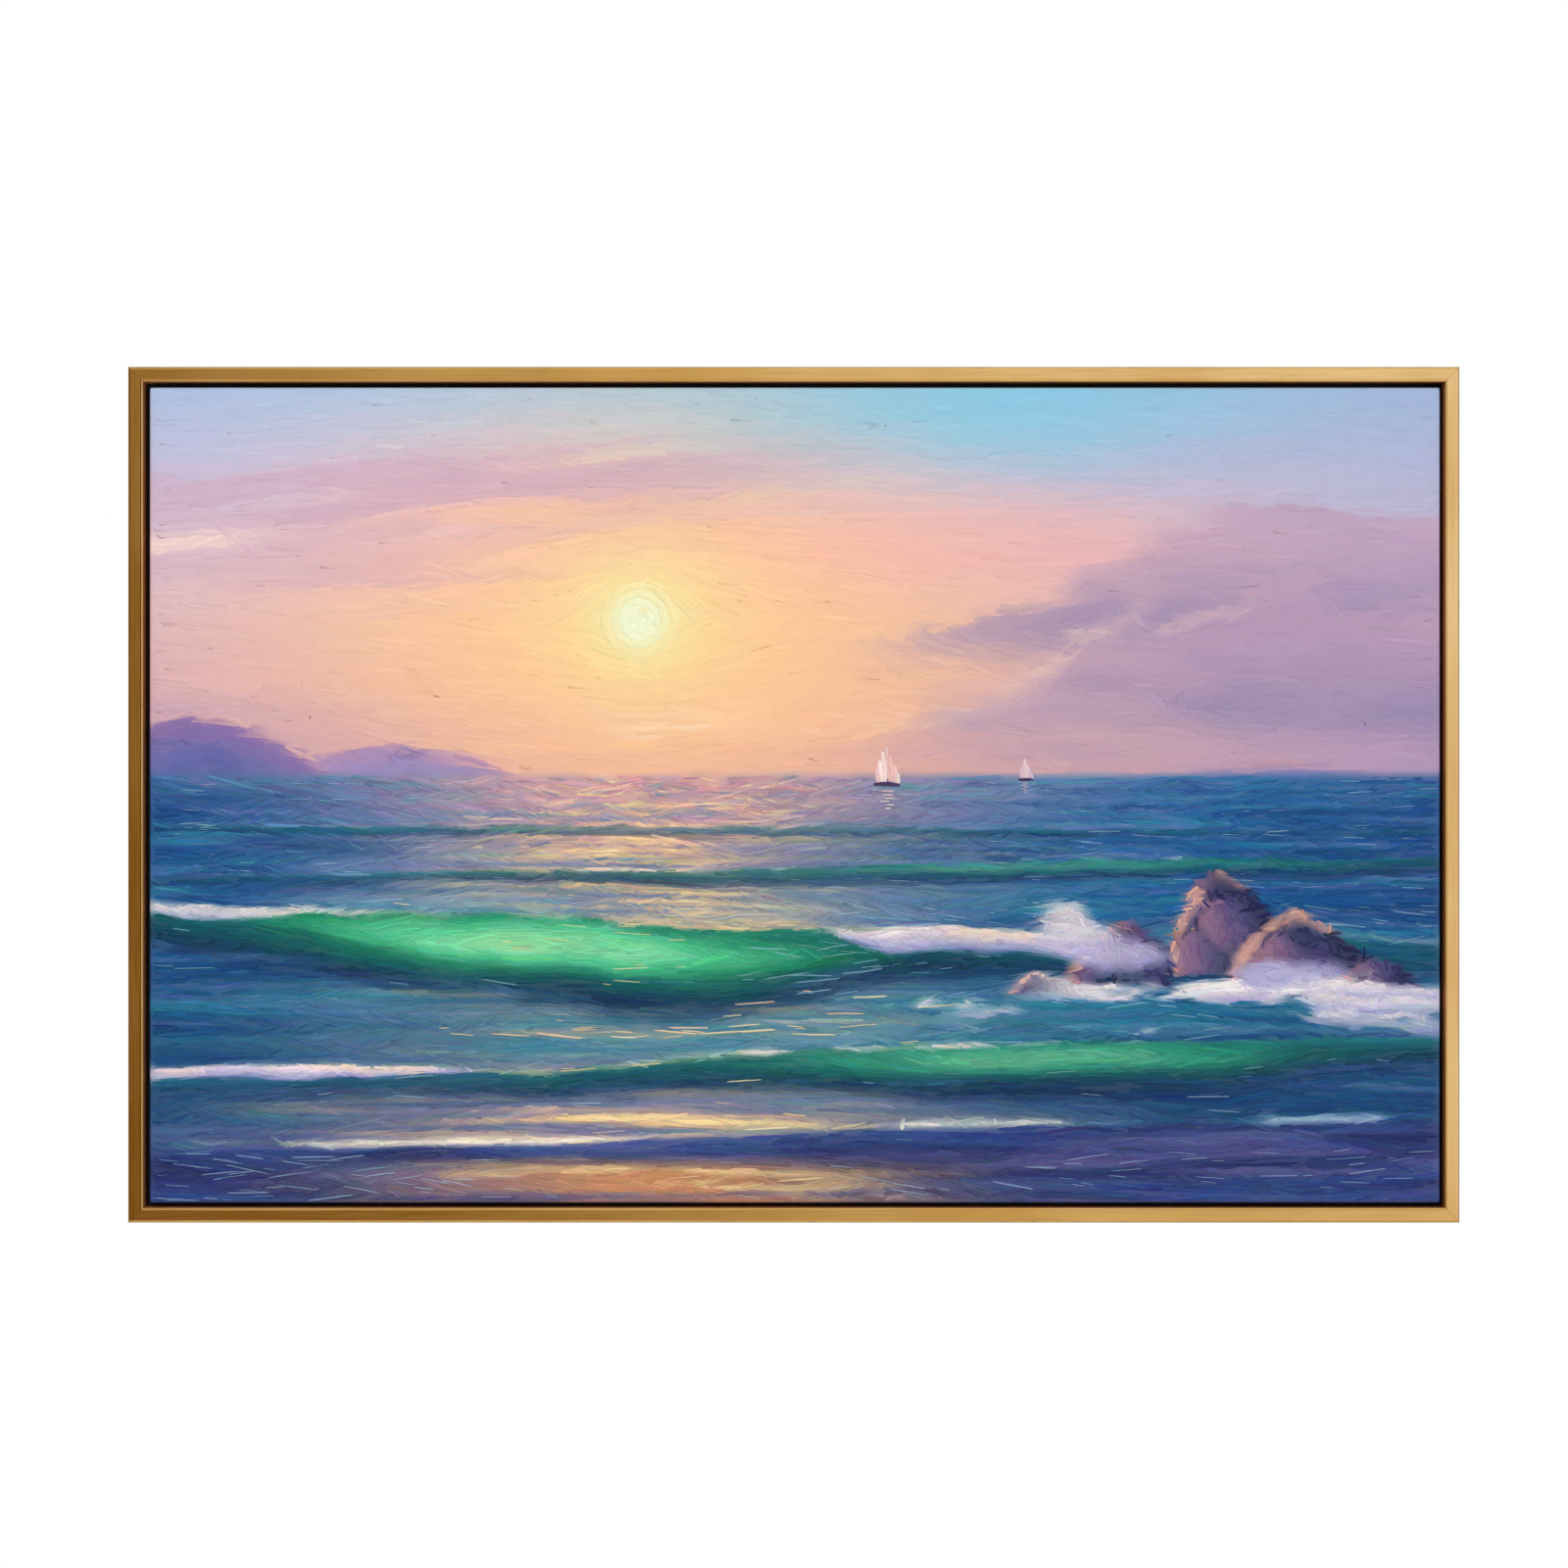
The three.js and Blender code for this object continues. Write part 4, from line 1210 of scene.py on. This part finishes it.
# %% Where strokes fall
SKY_ENDS, WATER_STARTS = HORIZON - 0.012, HORIZON + 0.004  # where strokes may be centred
FIRM_EDGE = 1.2  # how fast the plan's lightness changes at a firm edge


def in_sky(x, v):
    """1 above the horizon."""
    return (v < SKY_ENDS) * 1.0


def on_rock(x, v):
    """1 on any of the rocks."""
    return np.max([rock_shape(x, v, rock)[0] for rock in ROCKS], axis=0)


def on_water(x, v):
    """1 below the horizon and off the rocks."""
    return (v > WATER_STARTS) * (1 - on_rock(x, v))


def near_edge(x, v):
    """0 where the plan is even, rising to 1 at its firm edges."""
    return np.clip(read(plan_edges, x, v) / FIRM_EDGE, 0, 1)


def clumped(x, v, seed):
    """1 inside drawn-out patches and 0 between them, so that touches gather in groups."""
    return smooth(ripples(x, v, 0.7, 0.6, seed), 0.05, 0.45)


def sun_path(x, v):
    """A bell about the sun's x that widens down the sea."""
    return bell(x, SUN_X, 0.10 + 0.26 * down_sea(v)) * (v > WATER_STARTS)


def brightness(x, v):
    """The plan's lightness."""
    return read(plan, x, v) @ LIGHTNESS


def not_green(x, v):
    """Nearly 0 where green outweighs red, which is on the clear faces of the swells."""
    tone = read(plan, x, v)
    return 1 - 0.93 * smooth(tone[..., 1] - tone[..., 0], 0.15, 0.35)


def glowing(x, v):
    """Along the sun's path, in clumps, mostly where the water is already bright."""
    light = (0.12 + smooth(brightness(x, v), 0.40, 0.62)) * not_green(x, v)
    return sun_path(x, v) * (0.06 + clumped(x, v, 201)) * (1 - on_rock(x, v)) * light


def still(x, v):
    """0 in the spray about the rocks, which dabs alone can paint, and 1 away from it."""
    cloud = sum(bell(x, sx, 1.3 * rx) * bell(v, sv, 1.3 * rv) for sx, sv, rx, rv in SPRAYS)
    return np.clip(1 - 1.5 * cloud, 0, 1)


def chilly(x, v):
    """On the water beside the sun's path, in clumps."""
    return (0.02 + clumped(x, v, 203)) * on_water(x, v) * (1 - sun_path(x, v)) * still(x, v)


def foamy(x, v):
    """Where the plan is nearly white, off the sun's path."""
    light = smooth(read(plan, x, v).min(-1), 0.62, 0.74)
    return (v > HORIZON) * light * (1 - sun_path(x, v))


def toned(first, second, share):
    """A recolouring: each stroke turns part of the way to a colour between two."""
    def recolour(colour):
        chosen = mix(first, second, brush.random(colour.shape[:1] + (1, 1)))
        return mix(colour, chosen, np.full(colour.shape[:3], share))
    return recolour


sun_light = toned((255, 236, 178), (252, 206, 158), 0.75)
sky_light = toned((196, 212, 232), (150, 200, 214), 0.55)
HAIR = 0.0004  # how near the horizon strokes may come
SKY, SEA = (0, HORIZON - HAIR), (HORIZON + HAIR, 1)


# %% Sky strokes
def sun_rings():
    """Dabs laid round the sun in five rings, each at right angles to the ring's radius."""
    radius = np.repeat((5, 11, 18, 26, 35), (6, 12, 18, 24, 30)) * UNIT
    turn = brush.random(len(radius)) * 2 * np.pi
    x, v = SUN_X + radius * np.cos(turn), SUN_V + radius * np.sin(turn)
    return ribbons(x, v, 5 * UNIT + 0.8 * radius, 8 * UNIT, turn + np.pi / 2, level=0.28,
                   thick=0.14, stack=0.06, tint=0.004, local=0.3, source=soft_plan, span=SKY)


layer_of("brushwork_sky", [
    strokes(1300, in_sky, (70, 190), (12, 30), level=0.02, thick=0.20, stack=0.08, tint=0.004,
            local=0.95, source=soft_plan, spread=0.04, turn=0.3, follow=0.5, span=SKY),
    strokes(1100, lambda x, v: in_sky(x, v) * (0.06 + near_edge(x, v)), (22, 70), (4, 9),
            level=0.14, thick=0.16, stack=0.06, tint=0.007, local=0.85, spread=0.05, turn=0.7,
            span=SKY),
    sun_rings(),
], sky_paint)

# %% Water strokes
SMALL = {"steps": 6, "lanes": 5}  # small strokes have fewer faces
layer_of("brushwork_sea_broad", [
    strokes(2400, on_water, (40, 120), (4, 10), level=0.10, thick=0.18, tint=0.022, local=0.8,
            spread=0.015, turn=0.22, follow=0.7, curve=0.3, span=SEA),
], sea_paint)
layer_of("brushwork_sea_fine", [
    strokes(4800, on_water, (16, 70), (1.8, 5), level=0.22, thick=0.22, tint=0.03, local=0.6,
            spread=0.02, turn=0.25, curve=0.4, span=SEA, **SMALL),
], sea_paint)

# %% Swells, rocks and foam
layer_of("brushwork_swells", [
    strokes(3300, lambda x, v: on_water(x, v) * near_edge(x, v) * still(x, v), (8, 30), (1.5, 4),
            level=0.34, thick=0.3, tint=0.03, local=0.6, spread=0.05, turn=0.5, span=SEA, **SMALL),
], sea_paint)
layer_of("brushwork_rocks_and_foam", [
    strokes(1500, on_rock, (7, 18), (2.5, 5), level=0.30, thick=0.35, tint=0.02, local=0.15,
            spread=0.12, turn=1.6, grip=0.3, curve=0.2, span=SEA, **SMALL),
    strokes(1000, foamy, (5, 14), (2.5, 5.5), level=0.40, thick=0.5, tint=0.02, local=0.3,
            spread=0.2, turn=1.5, grip=0.5, span=SEA, **SMALL),
], sea_paint)

# %% [markdown]
# ### Two sailing boats
#
# Two small boats give the sea its scale. A painter sets each down in a few touches: the
# sails are seven upright strokes side by side, tallest at the mast, with two short dark
# ones for the hull and six pale ones below it, each shorter, for its reflection.

# %% Boats
LEAN = 0.10  # how far the sails lean from upright, in radians


def boat(x, v, tall, pale):
    """Strokes for one boat whose hull is at x, v and whose mast is that many mm tall."""
    tall = tall * UNIT
    aside = np.array((-0.25, -0.17, -0.09, -0.01, 0.09, 0.18, 0.26)) * tall
    heights = np.array((0.42, 0.64, 0.86, 1.0, 0.74, 0.50, 0.30)) * tall
    sails = ribbons(
        x + aside, v - heights / 2, heights, 0.13 * tall, np.pi / 2 - LEAN,
        level=0.40, thick=0.35, tint=0.02, curve=0.6, recolour=toned(*pale, 0.9), **SMALL)
    hull = ribbons(
        x + np.array((-0.01, 0.02)) * tall, np.array((v, v - 0.5 * UNIT)),
        np.array((0.74, 0.60)) * tall, 0.12 * tall, 0.02, level=0.70, thick=0.3, tint=0.02,
        curve=-0.5, recolour=toned((58, 46, 84), (84, 60, 92), 0.95), **SMALL)
    gleam = ribbons(
        x + 0.05 * tall * brush.standard_normal(6), v + np.arange(2, 8) * 0.085 * tall,
        0.36 * tall * (1 - 0.1 * np.arange(6)), 0.05 * tall, 0.0, level=0.5, thick=0.25,
        tint=0.02, curve=0.3, recolour=toned(*pale, 0.6), span=SEA, **SMALL)
    return [sails, hull, gleam]


# %% Touches of light
TOUCH = {"steps": 5, "lanes": 4, "level": 0.5, "tint": 0.02, "span": SEA}
SUN_TOUCH, SKY_TOUCH = {**TOUCH, "recolour": sun_light}, {**TOUCH, "recolour": sky_light}
layer_of("brushwork_highlights", [
    strokes(1000, lambda x, v: (down_sea(v) < 0.45) * glowing(x, v), (5, 26), (0.8, 1.6),
            thick=0.3, spread=0.008, turn=0.02, curve=0.1, **SUN_TOUCH),
    strokes(420, lambda x, v: (down_sea(v) > 0.3) * glowing(x, v), (10, 60), (1.2, 3.0),
            thick=0.4, spread=0.015, turn=0.08, curve=0.3, **SUN_TOUCH),
    strokes(300, lambda x, v: (down_sea(v) < 0.4) * chilly(x, v), (6, 30), (0.8, 1.5),
            thick=0.3, spread=0.01, turn=0.05, curve=0.1, **SKY_TOUCH),
    strokes(300, lambda x, v: (down_sea(v) > 0.3) * chilly(x, v), (12, 56), (1.0, 2.2),
            thick=0.35, spread=0.03, turn=0.15, curve=0.5, **SKY_TOUCH),
    *boat(0.905, HORIZON + 0.012, 42, ((246, 232, 222), (236, 196, 184))),
    *boat(1.075, HORIZON + 0.006, 23, ((236, 214, 216), (214, 180, 194))),
], thick_paint)
# %% [markdown]
# ## Glue in the mitres
#
# The rails meet at 45 degrees with a hair of space between them, and a framer fills it
# with glue. Each glue line has the rails' own L section, drawn a little inside it. The
# section lies in the plane of the mitre, so a point that is d in from both outer sides
# moves by d along x and by d along z, and it is given a slight thickness across that plane.

# %% Glue lines
GLUE_SECTION = np.array((  # inward and depth, in mm
    (0.3, 0.5), (0.3, 32.5), (2.0, 34.2), (15.6, 34.2), (15.6, 4.5), (35.5, 4.5), (35.5, 0.5))) * MM
GLUE_HALF = 0.13 * MM  # how far each side of a glue line lies from the mitre, along x and z


def glue_lines():
    """Two copies of the section at each of four corners, and the faces that join them."""
    frame_low, frame_high = rail_boxes["left"][0], rail_boxes["right"][1]
    points, caps, sides = [], [], []
    count = len(GLUE_SECTION)
    here = np.arange(count)
    for x, inward_x in ((frame_low[0], 1), (frame_high[0], -1)):
        for z, inward_z in ((rail_boxes["bottom"][0][2], 1), (rail_boxes["top"][1][2], -1)):
            first = count * len(points)
            for shift in np.array((-GLUE_HALF, GLUE_HALF)) * inward_x * inward_z:
                points.append(np.column_stack([
                    x + inward_x * (GLUE_SECTION[:, 0] + shift), -GLUE_SECTION[:, 1],
                    z + inward_z * (GLUE_SECTION[:, 0] - shift)]))
            outer, inner = first + here, first + count + here
            caps += [outer, inner[::-1]]
            sides.append(np.column_stack([outer, inner, np.roll(inner, -1), np.roll(outer, -1)]))
    return np.concatenate(points), [np.array(caps), np.concatenate(sides)]


glue_finish = Finish("dried_glue", Roughness=0.55)
glue_cloud = glue_finish.noise(glue_finish.coordinates(), (120, 120, 120), 2)
glue_finish.set("Base Color", glue_finish.mix(
    (96, 62, 34), (66, 42, 26), glue_cloud.ramp(0.35, 0.65)))
glue_points, glue_faces = glue_lines()
put("mitre_glue", glue_points, glue_faces, glue_finish.material)

# %% [markdown]
# ## Staples
#
# The turned-over cloth is held to the bars by staples, one about every 55 mm. Only a
# staple's crown shows: a flat steel wire whose ends bend down into the cloth. The crown
# is a profile carried along an arch: a rounded rectangle at each of a few places.

# %% Staple crowns
CROWN, WIRE_WIDE, WIRE_THICK = 10 * MM, 1.2 * MM, 0.6 * MM
STAPLE_INSET, STAPLE_PITCH = 19.5 * MM, 55 * MM
FIRST_STAPLE = 40 * MM  # how far the first one lies from a corner


def staple_places():
    """Where each crown's middle lies, from the canvas's middle, and which way it runs."""
    places = []
    for flat, reach, other in ((True, half[0], half[1]), (False, half[1], half[0])):
        number = int(round(2 * (reach - 30 * MM) / STAPLE_PITCH))
        run = np.linspace(-1, 1, number) * (reach - FIRST_STAPLE)
        for sign in (-1, 1):
            at = run + 3 * MM * chance.standard_normal(number)
            level = np.full(number, sign * (other - STAPLE_INSET))
            pair = (at, level) if flat else (level, at)
            tilt = 0.08 * chance.standard_normal(number) + (0 if flat else np.pi / 2)
            places.append(np.column_stack([*pair, tilt]))
    return np.concatenate(places)


def crowns():
    """Six places along each arch, with eight points round the wire at each of them.

    The wire's section is a rounded rectangle: the cos and sin of the turn round it, each
    with its size raised to 0.5."""
    where = staple_places()
    s = np.array((-1, -0.93, -0.75, 0.75, 0.93, 1))[None, :, None]
    turn = (np.arange(8) + 0.5) * np.pi / 4
    wide = np.sign(np.cos(turn)) * np.abs(np.cos(turn)) ** 0.5 * WIRE_WIDE / 2
    thick = np.sign(np.sin(turn)) * np.abs(np.sin(turn)) ** 0.5 * WIRE_THICK / 2
    lift = np.interp(np.abs(s), (0.75, 0.93, 1), (0, 0.35 * MM, 1.0 * MM))
    along = s * CROWN / 2 + 0 * turn
    depth = FOLD_BACK - WIRE_THICK / 2 - 0.02 * MM + lift + thick
    sideways = wide + 0 * s
    cos, sin = (f(where[:, 2])[:, None, None] for f in (np.cos, np.sin))
    x = CANVAS_MIDDLE[0] + where[:, 0, None, None] + along * cos - sideways * sin
    z = CANVAS_MIDDLE[2] + where[:, 1, None, None] + along * sin + sideways * cos
    return np.stack(np.broadcast_arrays(x, -depth, z), -1)


wire = crowns()
table = np.arange(wire[..., 0].size).reshape(wire.shape[:3])
ahead = np.roll(table, -1, axis=2)
staple_faces = np.stack([table[:, :-1], table[:, 1:], ahead[:, 1:], ahead[:, :-1]], -1).reshape(-1, 4)
staple_ends = np.concatenate([table[:, 0], table[:, -1, ::-1]])
put("staples", wire.reshape(-1, 3), [staple_faces, staple_ends], zinc_plate)
print(len(wire), "staples")

# %% [markdown]
# ## Camera, light and floor
#
# The picture is seen square on by a long lens, a little off its middle. Flat gilding shows
# whatever lies opposite it, so the surroundings do most of the work: they are dim and
# brown on one side and pale on the other, and the gold changes along each rail. The paint
# gathers light from all round and stays even. One soft lamp high on the left rakes over
# the strokes and gives them their relief. Straight from the camera the surroundings are
# plain white.

# %% Camera
VIEW_WIDE = 1.6475  # metres across the view, at the frame's face
LENS, SENSOR = 85.0, 36.0
CAMERA_X, CAMERA_Z = -0.0103, -0.4207
camera_data = bpy.data.cameras.new("camera")
camera_data.lens = LENS
camera_data.sensor_width = SENSOR
camera = bpy.data.objects.new("camera", camera_data)
camera.location = (CAMERA_X, -(VIEW_WIDE * LENS / SENSOR + FACE_DEPTH), CAMERA_Z)
camera.rotation_euler = (np.pi / 2, 0, 0)
bpy.context.scene.collection.objects.link(camera)
bpy.context.scene.camera = camera
bpy.context.scene.view_settings.view_transform = "Standard"

# %% Surroundings
class Surroundings(Finish):
    """The world's shader, built with the same helpers as a finish."""

    def __init__(self, name):
        world = bpy.data.worlds.new(name)
        world.use_nodes = True
        bpy.context.scene.world = world
        self.tree = world.node_tree
        self.shader = self.tree.nodes["Background"]


around = Surroundings("studio")
direction = around.node("ShaderNodeTexCoord", output="Generated")
across_room, in_room, up_room = around.parts(direction)
dim, middling, bright = (0.26, 0.15, 0.01, 1), (1.02, 0.98, 0.70, 1), (1.26, 1.42, 1.92, 1)
beside_dim, beside_pale = (0.16, 0.12, 0.06, 1), (0.72, 0.70, 0.68, 1)
above_dim, above_pale = (0.84, 0.80, 0.72, 1), (1.28, 1.24, 1.18, 1)
WHITE = (1, 1, 1, 1)
side = across_room.ramp(-0.20, 0.15)
beside = around.mix(beside_dim, beside_pale, side)
above = around.mix(above_dim, above_pale, side)
slant = across_room + up_room * 0.5
facing = around.mix(dim, middling, slant.ramp(-0.12, -0.03))
facing = around.mix(facing, bright, slant.ramp(0.02, 0.20))
facing = around.mix(facing, beside, in_room.ramp(-0.62, -0.42))
facing = around.mix(facing, WHITE, in_room.ramp(-0.1, 0.2))
facing = around.mix(facing, above, up_room.ramp(0.35, 0.6))
facing = around.mix(facing, above, up_room.ramp(-0.65, -0.45, 1, 0))
seen = around.node("ShaderNodeLightPath", output="Is Camera Ray")
around.set("Color", around.mix(facing, WHITE, seen))

# %% Lamp and floor
LAMP_PLACE = (-1.7, -1.9, 1.9)
lamp_data = bpy.data.lights.new("raking_lamp", "AREA")
lamp_data.shape = "DISK"
lamp_data.size = 0.9
lamp_data.energy = 30
lamp = bpy.data.objects.new("raking_lamp", lamp_data)
lamp.location = LAMP_PLACE
aim = np.array((CANVAS_MIDDLE[0], 0, CANVAS_MIDDLE[2])) - LAMP_PLACE
lamp.rotation_euler = (np.arccos(-aim[2] / np.linalg.norm(aim)), 0, np.arctan2(-aim[0], aim[1]))
lamp.visible_glossy = False
bpy.context.scene.collection.objects.link(lamp)

FLOOR_LEVEL, FLOOR_HALF = -1.95, 3
floor_finish = Finish("pale_floor", Roughness=0.7)
floor_tone = floor_finish.noise(floor_finish.coordinates(), (3, 3, 3), 3)
floor_finish.set("Base Color", floor_finish.mix(
    (245, 245, 244), (242, 242, 241), floor_tone.ramp(0.3, 0.7)))
floor_mesh = bpy.data.meshes.new("floor")
floor_corners = np.array(((-1, -1, 0), (1, -1, 0), (1, 1, 0), (-1, 1, 0))) * FLOOR_HALF
floor_corners = floor_corners + (0, 0, FLOOR_LEVEL)
floor_mesh.from_pydata(floor_corners.tolist(), [], [(0, 1, 2, 3)])
floor_mesh.materials.append(floor_finish.material)
floor = bpy.data.objects.new("floor", floor_mesh)
bpy.context.scene.collection.objects.link(floor)
